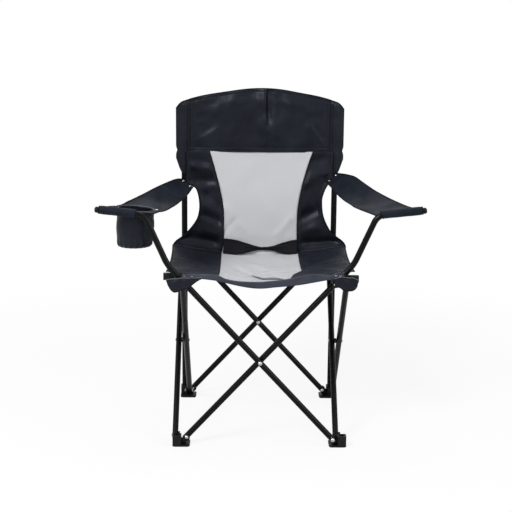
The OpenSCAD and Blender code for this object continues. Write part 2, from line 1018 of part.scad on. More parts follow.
module left_head_sleeve() {
    color(navy_cloth)
        mirror([1, 0, 0])
            head_sleeve_right();
}

// An armrest: a drooping band from the sleeve on the arm tube back to the upper edge of the back panel
armrest_front_in = arm_tip[0] - 12 - armrest_w;
armrest_rear_in = [post_offset - 24, post_offset - 17, bend2[1] + 19];
armrest_rear_out = [post_offset + 5, post_offset - 11, bend2[1] + 40];

// The right armrest is tied higher and tighter than the left one: taut is 1 for it and 0 for the left
function armrest_point(s, v, plane) =
    let (taut = plane < outer_plane - tube_d ? 1 : 0,
         front = [lerp(armrest_front_in, arm_tip[0] - 12, s), -plane + sleeve_r - 0.33,
             lerp(bend2[1] + 6, arm_tip[1] + 5, s)],
         rear = lerp(armrest_rear_in, armrest_rear_out, s) + [0, 0, taut * lerp(right_tie_in, right_tie_out, s)],
         droop = lerp(armrest_droop - taut * right_tight, armrest_outer_droop, s),
         bulge = taut * s * right_bulge * 9.48 * pow(v, 3) * (1 - v))
    lerp(front, rear, v) + [8 * bow(v) * (1 - s), 0, bulge - droop * bow(v)];

// An armrest folds across its width at a share of its run from front to back
armrest_fold = 0.7;
fold_gap = 0.0005;

module armrest(v0, v1, steps, plane) {
    grid = [for (v = spread(v0, v1, steps)) [for (s = spread(0, 1, 6)) armrest_point(s, v, plane)]];
    panel(shifted(grid, [0, 0, -cloth_t]), grid);
}

module right_armrest_front() {
    color(navy_cloth)
        armrest(0, armrest_fold - fold_gap, 9, inner_plane);
}

module right_armrest_rear() {
    color(navy_cloth)
        armrest(armrest_fold + fold_gap, 1, 6, inner_plane);
}

module left_armrest_front() {
    color(navy_cloth)
        mirror([1, 0, 0])
            difference() {
                armrest(0, armrest_fold - fold_gap, 9, outer_plane);
                translate([cup_x, -cup_y, cup_top - cup_h / 4])
                    cylinder(h = cup_h / 2, r = cup_d / 2 + 0.3);
            }
}

module left_armrest_rear() {
    color(navy_cloth)
        mirror([1, 0, 0])
            armrest(armrest_fold + fold_gap, 1, 6, outer_plane);
}

// The cup holder hangs through the left armrest, a little narrower at its foot
cup_top = bend2[1] + 5;

module cup_holder() {
    color(navy_cloth)
        translate([-cup_x, -cup_y, cup_top - cup_h])
            difference() {
                cylinder(h = cup_h, r1 = cup_d / 2 - 3, r2 = cup_d / 2);
                translate([0, 0, cup_wall])
                    cylinder(h = cup_h, r1 = cup_d / 2 - 3 - cup_wall, r2 = cup_d / 2 - cup_wall);
            }
}

rear_left_foot();
rear_right_foot();
front_left_foot();
front_right_foot();
rear_left_foot_rivets();
rear_right_foot_rivets();
front_left_foot_rivets();
front_right_foot_rivets();
left_back_post();
right_back_post();
left_post_cap();
right_post_cap();
front_outer_tube();
front_inner_tube();
right_outer_tube();
right_inner_tube();
rear_outer_tube();
rear_inner_tube();
left_outer_tube();
left_inner_tube();
front_cross_rivet();
right_cross_rivet();
rear_cross_rivet();
left_cross_rivet();
front_cross_spacer();
right_cross_spacer();
rear_cross_spacer();
left_cross_spacer();
front_left_corner();
front_right_corner();
rear_left_slider();
rear_right_slider();
front_left_corner_rivets();
front_right_corner_rivets();
rear_left_slider_rivets();
rear_right_slider_rivets();
left_arm_cap();
right_arm_cap();
left_arm_sleeve();
right_arm_sleeve();
headrest();
left_head_sleeve();
right_head_sleeve();
back_mesh();
left_back_panel();
right_back_panel();
lumbar_strap();
seat_mesh_front();
seat_mesh_rear();
seat_sides_front();
seat_sides_rear();
seat_front_hem();
left_corner_pocket();
right_corner_pocket();
left_armrest_front();
left_armrest_rear();
right_armrest_front();
right_armrest_rear();
cup_holder();
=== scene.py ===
# %% [markdown]
# # Dressing a folding camp armchair
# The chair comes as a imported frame: tubes, plastic joints, rivets and plain solids for the cloth. The rigid
# pieces already have their true shape, so they only need a finish. The cloth is modelled again here, as thin
# sheets with hems, seams and folds. Loading the frame first gives every later cell its places in metres.

# %% Load the frame
import json
from math import cos, exp, hypot, pi, radians, sin, sqrt, tanh
import bmesh
import bpy
from mathutils import Matrix, Vector, noise


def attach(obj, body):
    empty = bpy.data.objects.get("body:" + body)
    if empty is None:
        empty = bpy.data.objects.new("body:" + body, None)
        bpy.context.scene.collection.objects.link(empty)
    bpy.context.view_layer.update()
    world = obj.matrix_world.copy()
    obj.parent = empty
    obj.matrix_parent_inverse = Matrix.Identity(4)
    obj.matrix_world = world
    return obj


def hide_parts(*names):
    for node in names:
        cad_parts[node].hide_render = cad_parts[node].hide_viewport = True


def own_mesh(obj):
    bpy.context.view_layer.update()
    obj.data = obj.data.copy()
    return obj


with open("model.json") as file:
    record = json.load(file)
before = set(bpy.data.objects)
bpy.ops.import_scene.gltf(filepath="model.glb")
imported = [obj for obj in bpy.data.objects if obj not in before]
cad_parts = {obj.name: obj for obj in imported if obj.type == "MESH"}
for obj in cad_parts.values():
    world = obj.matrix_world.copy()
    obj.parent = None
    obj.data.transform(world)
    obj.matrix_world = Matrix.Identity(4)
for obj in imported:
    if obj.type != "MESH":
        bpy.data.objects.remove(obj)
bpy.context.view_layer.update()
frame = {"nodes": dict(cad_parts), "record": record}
nodes = frame["nodes"]
scene = bpy.context.scene
scene.view_settings.view_transform = "Standard"
MM = 0.001

# %% [markdown]
# ## Colours and nodes
# A colour is given as an sRGB hex value, but a shader works on linear light, so one function turns the
# first into the second. Another adds a node and joins its links. The small ones after it hand on a node with the
# output that is used, so that a finish reads as a short list.

# %% Colour and node helpers
def srgb(code):
    parts = [int(code[i:i + 2], 16) / 255 for i in (1, 3, 5)]
    linear = [p / 12.92 if p <= 0.04045 else ((p + 0.055) / 1.055) ** 2.4 for p in parts]
    return (*linear, 1.0)


def wire(tree, node, inputs):
    """Fills a node's inputs with plain values, or with links given as (node, output)."""
    for key, value in inputs.items():
        if isinstance(value, tuple) and isinstance(value[0], bpy.types.Node):
            tree.links.new(value[0].outputs[value[1]], node.inputs[key])
        else:
            node.inputs[key].default_value = value


def add(tree, kind, inputs=None, **settings):
    node = tree.nodes.new(kind)
    for key, value in settings.items():
        setattr(node, key, value)
    wire(tree, node, inputs or {})
    return node


def clouds(tree, place, size, detail, **more):
    """Noise, size mm across."""
    inputs = {"Vector": (place, "Object"), "Scale": 1 / (size * MM), "Detail": detail, **more}
    return add(tree, "ShaderNodeTexNoise", inputs), "Fac"


def stripes(tree, vector, pitch, way, wobble):
    """Waves pitch mm apart, on coordinates in metres."""
    inputs = {"Vector": vector, "Scale": 2 * pi / (20 * pitch * MM), "Distortion": wobble}
    return add(tree, "ShaderNodeTexWave", inputs, bands_direction=way), "Fac"


def blend(tree, share, dark, light):
    return add(tree, "ShaderNodeMix", {0: share, 6: srgb(dark), 7: srgb(light)}, data_type="RGBA"), 2


def spread(tree, value, low, high):
    return add(tree, "ShaderNodeMapRange", {"Value": value, "To Min": low, "To Max": high}), "Result"


def calc(tree, way, *values):
    return add(tree, "ShaderNodeMath", dict(enumerate(values)), operation=way), "Value"


def relief(tree, height, strength, depth, **more):
    """Bump of a depth in mm."""
    inputs = {"Height": height, "Strength": strength, "Distance": depth * MM, **more}
    return add(tree, "ShaderNodeBump", inputs), "Normal"


def start_finish(name, **shader):
    material = bpy.data.materials.new(name)
    material.use_nodes = True
    tree = material.node_tree
    surface = tree.nodes["Principled BSDF"]
    wire(tree, surface, {key.replace("_", " "): value for key, value in shader.items()})
    return material, tree, surface, add(tree, "ShaderNodeTexCoord")


print("cloth colour in linear light:", [round(c, 4) for c in srgb("#181b22")])

# %% [markdown]
# ## Powder coated steel
# The tubes are mild steel under a baked polymer powder, a satin black with a faint orange peel about 2 mm across.
# A noise of that size goes to the bump, and a slow one varies the roughness, as handling polishes some places.
# Object coordinates suit a rigid node, because its mesh never bends.

# %% Powder coat
def make_powder_coat():
    mat, tree, surface, place = start_finish("powder_coated_steel", IOR=1.5, Specular_IOR_Level=0.12)
    wear = clouds(tree, place, 45, 6.0)
    tint = add(tree, "ShaderNodeValToRGB", {"Fac": wear})
    for stop, position, code in zip(tint.color_ramp.elements, (0.35, 0.72), ("#040405", "#090a0b")):
        stop.position, stop.color = position, srgb(code)
    wire(tree, surface, {"Base Color": (tint, "Color"), "Roughness": spread(tree, wear, 0.16, 0.32),
                         "Normal": relief(tree, clouds(tree, place, 2.0, 2.0), 0.12, 0.15)})
    return mat


powder_coat = make_powder_coat()
print("made", powder_coat.name)

# %% [markdown]
# ## Moulded polypropylene
# Feet, corners, sliders and caps are injection moulded with a spark-eroded grain about 0.7 mm across, an even,
# dull black whose highlights are broken up. Fine noise does the grain, and a slow noise greys the plastic a little
# where it has rubbed.

# %% Black plastic
def make_plastic():
    mat, tree, surface, place = start_finish("moulded_polypropylene", IOR=1.49, Roughness=0.45,
                                             Specular_IOR_Level=0.2)
    wire(tree, surface, {"Base Color": blend(tree, clouds(tree, place, 18, 4.0), "#08080a", "#121315"),
                         "Normal": relief(tree, clouds(tree, place, 0.7, 3.0), 0.25, 0.1)})
    return mat


plastic = make_plastic()
print("made", plastic.name)

# %% [markdown]
# ## Plated steel
# Rivets are zinc plated steel and eyelets nickel plated brass: a pale, slightly hazy metal with fine tumbling
# marks. Metallic is 1, the IOR stays at its default, and a noise clouds the roughness.

# %% Rivet metal
def make_plated(name, light, dark, rough):
    mat, tree, surface, place = start_finish(name, Metallic=1.0)
    cloud = clouds(tree, place, 3.0, 5.0)
    wire(tree, surface, {"Base Color": blend(tree, cloud, dark, light),
                         "Roughness": spread(tree, cloud, rough - 0.08, rough + 0.12)})
    return mat


rivet_metal = make_plated("zinc_plated_steel", "#c9cacc", "#96989b", 0.3)
eyelet_metal = make_plated("nickel_plated_brass", "#e2e2e0", "#b4b5b6", 0.22)
print("made", rivet_metal.name, "and", eyelet_metal.name)

# %% [markdown]
# ## Coated oxford cloth
# The dark panels are polyester oxford, a plain weave of doubled yarns. The threads lie 0.6 mm apart and are drawn
# at 1.1 mm, so that they just show in a close view. The weave follows the cloth, so it reads a UV map in metres.
# Slow noise gives the uneven dye and the fine crumple, and a blue tint of the highlights the cool satin of such
# cloth. The seat and the armrests get a duller copy, and its lighter, bluer colour is painted sheen on these
# upward faces.

# %% Dark cloth
def make_oxford(name, dark, light, pitch=1.1, on_uv=True, rough=0.37, gloss=0.22):
    mat, tree, surface, place = start_finish(name, IOR=1.45, Roughness=rough, Specular_IOR_Level=gloss,
                                             Specular_Tint=(0.76, 0.85, 1.0, 1.0), Sheen_Weight=0.02,
                                             Sheen_Roughness=0.4)
    source = (place, "UV" if on_uv else "Object")
    weave = calc(tree, "MULTIPLY", *[stripes(tree, source, pitch, way, 0.4) for way in ("X", "Y" if on_uv else "Z")])
    dye = clouds(tree, place, 60, 5.0, Roughness=0.6)
    cloudy = add(tree, "ShaderNodeMapRange", {"Value": dye, "From Min": 0.3, "From Max": 0.7})
    tint = blend(tree, (cloudy, "Result"), dark, light)
    dyed = add(tree, "ShaderNodeVectorMath", {0: tint, "Scale": spread(tree, weave, 0.82, 1.12)}, operation="SCALE")
    threads = relief(tree, weave, 0.35, 0.12)
    crumple = relief(tree, clouds(tree, place, 28, 4.0), 0.5, 1.6, Normal=threads)
    wire(tree, surface, {"Base Color": (dyed, "Vector"), "Normal": crumple})
    return mat


oxford = make_oxford("polyester_oxford", "#0d0f14", "#181b22")
# Lighter, bluer copy for the seat, lap, armrests and arm sleeves: its colour is painted sheen on faces turned up to the
# light.
seat_oxford_painted_sheen = make_oxford("polyester_oxford_seat_painted_sheen", "#12161e", "#20252f", rough=0.5, gloss=0.08)
# Lighter copy for the front hem and the rear seam cord: its colour is painted sheen and painted highlight.
hem_cloth_painted_sheen = make_oxford("polyester_hem_painted_sheen", "#2c2f37", "#3e414b")
binding_cloth = make_oxford("woven_binding", "#060607", "#0c0d0f", pitch=1.4, on_uv=False, rough=0.7, gloss=0.15)
print("made", oxford.name, seat_oxford_painted_sheen.name, hem_cloth_painted_sheen.name, binding_cloth.name)

# %% [markdown]
# ## Knitted mesh
# The grey middle of the seat and back is warp-knitted polyester with small round holes in staggered rows, 1.5 mm
# apart; the rows are drawn 2 mm apart. Two cosines of the UV map, multiplied, are high at the places of a staggered
# grid, and what lies above a limit is a hole, filled with a darker grey as painted shade seen through it. The yarn
# round each hole is raised by the same value.

# %% Grey mesh
def make_mesh(pitch=4.0):
    mat, tree, surface, place = start_finish("knitted_polyester_mesh", IOR=1.45, Roughness=0.75,
                                             Specular_IOR_Level=0.25, Sheen_Weight=0.1)
    axes = add(tree, "ShaderNodeSeparateXYZ", {"Vector": (place, "UV")})
    waves = [calc(tree, "COSINE", calc(tree, "MULTIPLY", (axes, axis), 2 * pi / (pitch * MM))) for axis in "XY"]
    hole = (add(tree, "ShaderNodeMapRange", {"Value": calc(tree, "MULTIPLY", *waves), "From Min": 0.38,
                                             "From Max": 0.66}, interpolation_type="SMOOTHSTEP"), "Result")
    yarn = blend(tree, clouds(tree, place, 35, 6.0), "#c9cace", "#cdced2")
    # The holes get a darker grey: painted shade seen through the mesh.
    tint = add(tree, "ShaderNodeMix", {0: hole, 6: yarn, 7: srgb("#84868b")}, data_type="RGBA")
    bump = relief(tree, hole, 0.6, 0.3)
    bump[0].invert = True
    wire(tree, surface, {"Base Color": (tint, 2), "Normal": bump})
    return mat


mesh_cloth = make_mesh()
print("made", mesh_cloth.name)

# %% [markdown]
# ## Strap, piping and thread
# The strap across the small of the back is a ribbed band, the piping a round woven cord, and the thread a bonded
# polyester. All three are small, so a rib or twist of about 1.5 mm is enough to keep them from looking like wire.

# %% Narrow goods
def make_ribbed(name, dark, light, pitch, direction, rough=0.7, gloss=0.3):
    mat, tree, surface, place = start_finish(name, IOR=1.45, Roughness=rough, Specular_IOR_Level=gloss)
    rib = stripes(tree, (place, "UV" if direction != "Z" else "Object"), pitch, direction, 0.8)
    wire(tree, surface, {"Base Color": blend(tree, rib, dark, light), "Normal": relief(tree, rib, 0.4, 0.2)})
    return mat


webbing = make_ribbed("ribbed_webbing", "#0d0d10", "#19191e", 1.8, "Y", gloss=0.1)
pale_piping = make_ribbed("grey_piping", "#4b4e56", "#6c7078", 1.6, "Z")
dark_thread = make_ribbed("bonded_thread", "#23262d", "#343841", 0.9, "Z", 0.5)
pale_thread = make_ribbed("overlock_thread", "#8d9097", "#b9bbc0", 0.9, "Z", 0.6)
print("made", webbing.name, pale_piping.name, dark_thread.name, pale_thread.name)

# %% [markdown]
# ## Finishes for the rigid pieces
# Each rigid node keeps its shape and only changes its material. Its slot in the record says which finish it gets,
# so nothing has to be listed by hand.

# %% Dress the rigid nodes
rigid_finish = {"powder_coated_tube": powder_coat, "black_plastic": plastic, "rivet_steel": rivet_metal}
dressed = 0
for part in frame["record"]["subparts"]:
    if part["material_slot"] in rigid_finish:
        mesh = nodes[part["node"]].data
        mesh.materials.clear()
        mesh.materials.append(rigid_finish[part["material_slot"]])
        dressed += 1
print("finishes on", dressed, "rigid nodes")

# %% [markdown]
# ## How a sheet of cloth is made
# Each panel starts as a flat grid whose points are carried to their places by a function of two shares, across
# and down. Its UV map is measured along the placed cloth in metres, so the weave keeps its true size, and Solidify
# gives it its thickness. This is quicker to steer than pulling points by hand, and each panel follows the same
# curves as its neighbours.

# %% Small functions of shape
def shares(count):
    return [i / count for i in range(count + 1)]


STEPS = shares(80)


def mix(a, b, t):
    return a + (b - a) * t


def bow(t):
    return 4 * t * (1 - t)


def ramp(x, low, high):
    t = max(0.0, min(1.0, (x - low) / (high - low)))
    return t * t * (3 - 2 * t)


def bell(x, width):
    return exp(-(x / width) ** 2)


def curve_at(points, t):
    """Value at t of a smooth curve through (t, value) points, level at both ends."""
    if t <= points[0][0]:
        return points[0][1]
    for i in range(1, len(points)):
        (t0, a), (t1, b) = points[i - 1], points[i]
        if t <= t1:
            k0 = 0 if i == 1 else (b - points[i - 2][1]) / (t1 - points[i - 2][0])
            k1 = 0 if i == len(points) - 1 else (points[i + 1][1] - a) / (points[i + 1][0] - t0)
            h, w = t1 - t0, (t - t0) / (t1 - t0)
            return (a * (1 + 2 * w) * (1 - w) ** 2 + k0 * h * w * (1 - w) ** 2 + b * w * w * (3 - 2 * w)
                    - k1 * h * w * w * (1 - w))
    return points[-1][1]


def beside(x, z, start, end):
    """Share of the way from start to end, distance beside it, and its direction."""
    dx, dz = end[0] - start[0], end[1] - start[1]
    length = hypot(dx, dz)
    x, z = x - start[0], z - start[1]
    return (x * dx + z * dz) / length ** 2, (x * dz - z * dx) / length, dx / length, dz / length


def crease(x, z, start, end, height, left, right):
    """A fold from start to end: left and right are its widths on its two sides, and it fades at both ends."""
    t, d, _, _ = beside(x, z, start, end)
    fade = ramp(t, -0.15, 0.25) * (1 - ramp(t, 0.75, 1.15))
    return height * fade * bell(d, left if d < 0 else right)


def folds(x, z, creases):
    return sum(crease(x, z, *each) for each in creases)


def rumple(x, z, size, seed):
    """Soft unevenness between about -1 and 1, size mm across."""
    return noise.noise(Vector((x / size, z / size, seed))) * 1.6


def line(place, u=None, v=None, shift=(0, 0, 0), steps=STEPS):
    """The points of a sheet along the line where u or v has the given value, moved by shift."""
    return [Vector(place(t if u is None else u, t if v is None else v)) + Vector(shift) for t in steps]


print("a crease on its line:", round(crease(0, 50, (0, 0), (0, 100), 5, 9, 9), 2), "mm")

# %% The sheet helper
def keep(obj, finish_of):
    obj.data.materials.append(finish_of)
    obj.data.polygons.foreach_set("use_smooth", [True] * len(obj.data.polygons))
    scene.collection.objects.link(obj)
    return obj


def show(obj):
    print(obj.name, [round(c, 3) for c in obj.dimensions])


def keep_mesh(name, bm, finish_of):
    mesh = bpy.data.meshes.new(name)
    bm.to_mesh(mesh)
    bm.free()
    return keep(bpy.data.objects.new(name, mesh), finish_of)


def placed_grid(place, across, down):
    """A grid whose point at the shares (u, v) is place(u, v), in mm, and its points by column and row. Its UV map
    is in metres, measured along the placed rows and the middle column."""
    bm = bmesh.new()
    bmesh.ops.create_grid(bm, x_segments=across, y_segments=down, size=0.5)
    at = {(round((p.co.x + 0.5) * across), round((p.co.y + 0.5) * down)): p for p in bm.verts}
    for (i, j), vert in at.items():
        vert.co = Vector(place(i / across, j / down)) * MM
    layer = bm.loops.layers.uv.verify()
    spot, middle, climb = {}, across // 2, 0.0
    for j in range(down + 1):
        if j:
            climb += (at[middle, j].co - at[middle, j - 1].co).length
        row = [0.0]
        for i in range(1, across + 1):
            row.append(row[-1] + (at[i, j].co - at[i - 1, j].co).length)
        for i in range(across + 1):
            spot[at[i, j]] = (row[i] - row[middle], climb)
    for face in bm.faces:
        for loop in face.loops:
            loop[layer].uv = spot[loop.vert]
    return bm, at


def cloth(name, place, across, down, finish_of, thick=1.3, wrap=False, cut=None):
    """A sheet of cloth. cut(centre) says which faces to leave out."""
    bm, _ = placed_grid(place, across, down)
    if cut:
        out = [f for f in bm.faces if cut(f.calc_center_median() / MM)]
        bmesh.ops.delete(bm, geom=out, context="FACES")
    if wrap:
        bmesh.ops.remove_doubles(bm, verts=bm.verts, dist=0.02 * MM)
    obj = keep_mesh(name, bm, finish_of)
    wall = obj.modifiers.new("cloth", "SOLIDIFY")
    wall.thickness = thick * MM
    wall.offset = 0.0
    wall.use_even_offset = False
    return obj


# %% Piping, thread and eyelets
def piping(name, points, radius, finish_of, ring=False):
    """A round cord along the points, in mm."""
    curve = bpy.data.curves.new(name, "CURVE")
    curve.dimensions = "3D"
    curve.bevel_depth = radius * MM
    curve.bevel_resolution = 2
    curve.use_fill_caps = True
    spline = curve.splines.new("POLY")
    spline.points.add(len(points) - 1)
    spline.use_cyclic_u = ring
    for knot, point in zip(spline.points, points):
        knot.co = (*[c * MM for c in point], 1)
    helper = bpy.data.objects.new(name + "_path", curve)
    scene.collection.objects.link(helper)
    bpy.context.view_layer.update()
    mesh = bpy.data.meshes.new_from_object(helper.evaluated_get(bpy.context.evaluated_depsgraph_get()))
    bpy.data.objects.remove(helper)
    mesh.materials.clear()
    return keep(bpy.data.objects.new(name, mesh), finish_of)


def spaced(points, pitch):
    """Places along a polyline, pitch mm apart, each with the direction there."""
    out, left = [], 0.0
    for a, b in zip(points, points[1:]):
        a, b = Vector(a), Vector(b)
        length = (b - a).length
        while left < length:
            out.append((a.lerp(b, left / length), (b - a).normalized()))
            left += pitch
        left -= length
    return out


def stitches(name, lines, finish_of, pitch=4.2, length=2.7, radius=0.42):
    """A row of thread on each line of points, in mm."""
    bm = bmesh.new()
    size = Matrix.Diagonal((length / 2, radius, radius, 1))
    for points in lines:
        for centre, run in spaced(points, pitch):
            turn = run.to_track_quat("X", "Z").to_matrix().to_4x4()
            bmesh.ops.create_icosphere(bm, subdivisions=1, radius=MM,
                                       matrix=Matrix.Translation(centre * MM) @ turn @ size)
    return keep_mesh(name, bm, finish_of)


def eyelets(name, places, ring, wire_r):
    """Rolled metal rings, one at each (centre, normal), in mm."""
    bm = bmesh.new()
    for centre, normal in places:
        turn = Vector(normal).to_track_quat("Z", "Y").to_matrix().to_4x4()
        there = Matrix.Translation(Vector(centre) * MM) @ turn
        side = Matrix.Translation((ring * MM, 0, 0)) @ Matrix.Rotation(pi / 2, 4, "X")
        made = bmesh.ops.create_circle(bm, segments=8, radius=wire_r * MM, matrix=there @ side)
        rim = [e for e in bm.edges if all(v in made["verts"] for v in e.verts)]
        bmesh.ops.spin(bm, geom=made["verts"] + rim, cent=there.to_translation(),
                       axis=there.to_3x3() @ Vector((0, 0, 1)), angle=2 * pi, steps=20, use_merge=True)
    bmesh.ops.remove_doubles(bm, verts=bm.verts, dist=0.02 * MM)
    bmesh.ops.recalc_face_normals(bm, faces=bm.faces)
    return keep_mesh(name, bm, eyelet_metal)


def set_on(obj, body, stands_for=(), gather=None):
    """Puts a piece on its body. If gather, (anchor X in mm, share kept), is given, the piece gets a mesh of its own."""
    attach(obj, body)
    if stands_for:
        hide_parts(*stands_for)
    if gather:
        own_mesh(obj)
    return obj


def bind(name, points, radius, body, gather=None, finish_of=binding_cloth, ring=False):
    """A cord of binding or piping, set on its body."""
    set_on(piping(name, points, radius, finish_of, ring), body, gather=gather)


def sew(name, lines, body, gather=None):
    """Rows of dark stitches, set on their body."""
    set_on(stitches(name, lines, dark_thread), body, gather=gather)


BACK = (-192, 0.157)
SEAT = (-195, 0.14)
SIDES = ((-1, "left"), (1, "right"))
print("helpers ready; the back keeps", BACK[1], "of its width when folded")

# %% [markdown]
# ## Shapes of the seat and the back
# The seat hangs like a hammock between its side edges, and the back leans a little between the posts. These
# functions give their heights and widths at any point, in mm. Every panel, hem and seam below asks them, so
# that the pieces meet. SKIN is half the thickness of the plain cloth.

# %% Seat and back shapes
FRONT_Y, REAR_Y, HEAD_LOW = -224.5, 193.0, 699.0
FRONT_Z, REAR_Z, FRONT_SAG, REAR_SAG, SAG = 450.96, 440.96, 25, 26, 44
SKIN, MESH_SHARE = 1.25, 104.5 / 240
SEAT_SEAM = {-1: 104.0, 1: 108.5}
HEM_TOP = [(-137, 445.5), (-104, 441.5), (-88, 434), (-60, 428.4), (-10, 426.5), (31, 429.8), (69, 435), (103, 443),
           (132, 447.5)]
BACK_EDGE = {-1: [(434, 240), (444, 236), (452, 229), (461, 216), (474, 200.6), (508, 174.5), (535, 166), (565, 165.8),
                  (595, 173), (603, 180), (610, 193), (617, 202), (641, 203)],
             1: [(434, 242), (444, 239), (451, 234), (458, 225), (466, 214), (477, 200.8), (499, 187), (526, 176.6),
                 (556, 173), (578, 174.5), (610, 188), (622, 201), (636, 203)]}


def along(y):
    return (y - FRONT_Y) / (REAR_Y - FRONT_Y)


def seat_w(t):
    return mix(232, 240, t) - 4 * bow(t)


def seat_z(x, y):
    """Top face of the seat. The front edge is drawn down a little to the left of the middle."""
    t = along(y)
    sag = mix(FRONT_SAG if t < 0.5 else REAR_SAG, SAG, sin(pi * t))
    share = min(1.0, abs(x) / seat_w(t))
    z = mix(FRONT_Z, REAR_Z, t) - 4 * bow(t) - sag * (1 - share ** mix(0.8, 1.6, t))
    if t < 0.25:
        edge = FRONT_Z - FRONT_SAG * (1 - min(1.0, abs(x) / 232) ** 0.8)
        z += (curve_at(HEM_TOP, x) - edge) * (1 - ramp(abs(x), 132, 165)) * (1 - ramp(t, 0, 0.25))
    return z


def back_y(z):
    return mix(196, 206, min(1.0, (z - 430) / (HEAD_LOW - 20 - 430)))


def back_foot(share):
    return REAR_Z - REAR_SAG * (1 - abs(share) ** 1.6) + 0.5


def mesh_w(z, side):
    """Half width of the mesh, which lies a little to the right of the middle."""
    waist, top, start, bend = (98.5, 137.5, 535, 1.3) if side < 0 else (105.5, 146.0, 520, 1.6)
    w = mix(waist, top, max(0.0, (z - start) / (HEAD_LOW - start)) ** bend)
    return mix(SEAT_SEAM[side], w, ramp(z, 412, 462))


def arch_z(x):
    return 832 + 43 * (1 - (abs(x) / 230) ** 2)


print("seat height in the middle", round(seat_z(0, 0)), "mm, top of the back", round(arch_z(0)), "mm")

# %% [markdown]
# ## The mesh of the back
# One soft sheet is sewn in between the side panels. It bellies backwards a little, because nothing holds its
# middle, and it has a few slack ripples above the strap. It runs up behind the headrest's hem.

# %% Back mesh
MESH_FOLDS = [((-97, 560), (-40, 478), -3.6, 9, 14), ((100, 530), (45, 465), -3.0, 12, 9),
              ((-100, 470), (-60, 520), 2.4, 8, 8)]


def back_mesh_place(u, v):
    foot = back_foot((2 * u - 1) * MESH_SHARE)
    z = mix(foot - 7, HEAD_LOW + 2, v)
    x = mix(-mesh_w(z, -1), mesh_w(z, 1), u)
    y = back_y(z) - SKIN + bow(u) * (5 + 1.4 * rumple(x, z, 60, 3.1) + 2.5 * (1 - ramp(abs(z - 437), 6, 34)))
    return x, mix(REAR_Y + 0.6, y + folds(x, z, MESH_FOLDS), ramp(z, foot - 4, foot + 22)), z


back_mesh = cloth("back_mesh_panel", back_mesh_place, 80, 100, mesh_cloth, 1.0)
set_on(back_mesh, "rear_left", ["back_mesh"], BACK)
show(back_mesh)

# %% [markdown]
# ## Side panels of the back
# Each side panel is a curved strip of oxford from the mesh to the post. The pull from the armrest and the weight
# on the seat set diagonal folds in it, which run up and out from the mesh, and the strip turns under above the
# seat. The two sides crease differently, as real cloth does. A valley is positive here, and a ridge negative.

# %% Side panels
PANEL_FOLDS = {1: [((94, 504), (188, 553), 9.0, 17, 13), ((104, 604), (196, 648), -7.0, 20, 12),
                   ((112, 446), (232, 450), 7.0, 12, 10), ((120, 676), (194, 690), 3.0, 10, 12),
                   ((100, 470), (176, 500), -3.5, 12, 14)],
               -1: [((-110, 646), (-196, 664), -6.5, 14, 12), ((-108, 622), (-196, 616), 6.0, 12, 14),
                    ((-98, 540), (-158, 590), 4.0, 16, 10), ((-96, 500), (-172, 530), 5.0, 9, 14),
                    ((-108, 448), (-226, 462), 6.0, 12, 14), ((-100, 572), (-140, 640), -3.0, 12, 12)]}
POST_FRONT_Y = 198.0


def side_panel_place(side):
    def place(u, v):
        foot = back_foot(mix(MESH_SHARE, 1, u))
        z = mix(foot - 7, HEAD_LOW + 1, v)
        x = mix(mesh_w(z, side) - 0.5, curve_at(BACK_EDGE[side], z), u)
        free = min(1.0, 6 * u, 6 * (1 - u)) * min(1.0, 9 * (1 - v), 14 * v)
        depth = folds(side * x, z, PANEL_FOLDS[side]) + 2.4 * rumple(side * x, z, 40, 5.7 + side)
        y = back_y(z) - 1.8 + (depth + 1.5) * free
        y = mix(y, min(y, POST_FRONT_Y), ramp(x, 190, 200) * ramp(z, 560, 600))
        return side * x, mix(REAR_Y + 0.4, y, ramp(z, foot - 4, foot + 22)), z
    return place


for side, word in SIDES:
    place = side_panel_place(side)
    set_on(cloth(f"{word}_back_side", place, 44, 110, oxford), "rear_left", [f"{word}_back_panel"], BACK)
    steps = shares(60)
    bind(f"{word}_back_binding", line(place, 1, shift=(0, -0.4, 0), steps=steps), 1.9, "rear_left", BACK)
    bind(f"{word}_back_seam", line(place, 0, shift=(side * 1.2, -1.3, 0), steps=steps), 1.1, "rear_left", BACK)
    sew(f"{word}_back_stitches", [line(place, 0.075, shift=(0, -0.9, 0), steps=steps)], "rear_left", BACK)
    teeth = []
    for p in line(place, 0, steps=[0.2 + 0.5 * t for t in shares(46)]):
        teeth.append([p + Vector((-side * 2.6, -0.6, 0)), p + Vector((side * 0.6, -1.6, 0.4))])
    overlock = stitches(f"{word}_back_overlock", teeth, pale_thread, 9, 3.0, 0.4)
    set_on(overlock, "rear_left", gather=BACK)
print("side panels with seams, bindings and overlock")

# %% [markdown]
# ## The strap
# A dark band crosses the small of the back. It is gathered to a few millimetres just right of the middle, so it
# opens into two wings with pleats that run to the gather.

# %% Lumbar strap
STRAP_TOP = [(-101, 459), (-64, 455), (-38, 447.5), (-1, 436.8), (14, 435.5), (37, 438.7), (66, 448.4), (106, 457)]
STRAP_LOW = [(-101, 418.5), (-75, 415), (-49, 417.5), (-23, 424), (-4, 428.4), (14, 429), (37, 427.6), (67, 418.9),
             (106, 415.6)]
GATHER_X = 14


def strap_place(u, v):
    x = mix(-100, 107, u)
    pinch = 1 - ramp(abs(x - GATHER_X), 5, 75)
    low, top = curve_at(STRAP_LOW, x), curve_at(STRAP_TOP, x)
    lean = 17 * (1 - pinch)
    z = mix(max(low + 0.2 * lean - 1.6, seat_z(x, 189 - lean) + 0.9), top, v)
    pleats = 1.4 * pinch * sin(pi * 5 * v) + 4.8 * (1 - pinch) * pinch * sin(pi * 6 * v)
    return x, 191.4 - lean * (1 - v) ** 2 - 2.6 * pinch + pleats + 0.7 * rumple(x, z, 30, 2.2), z


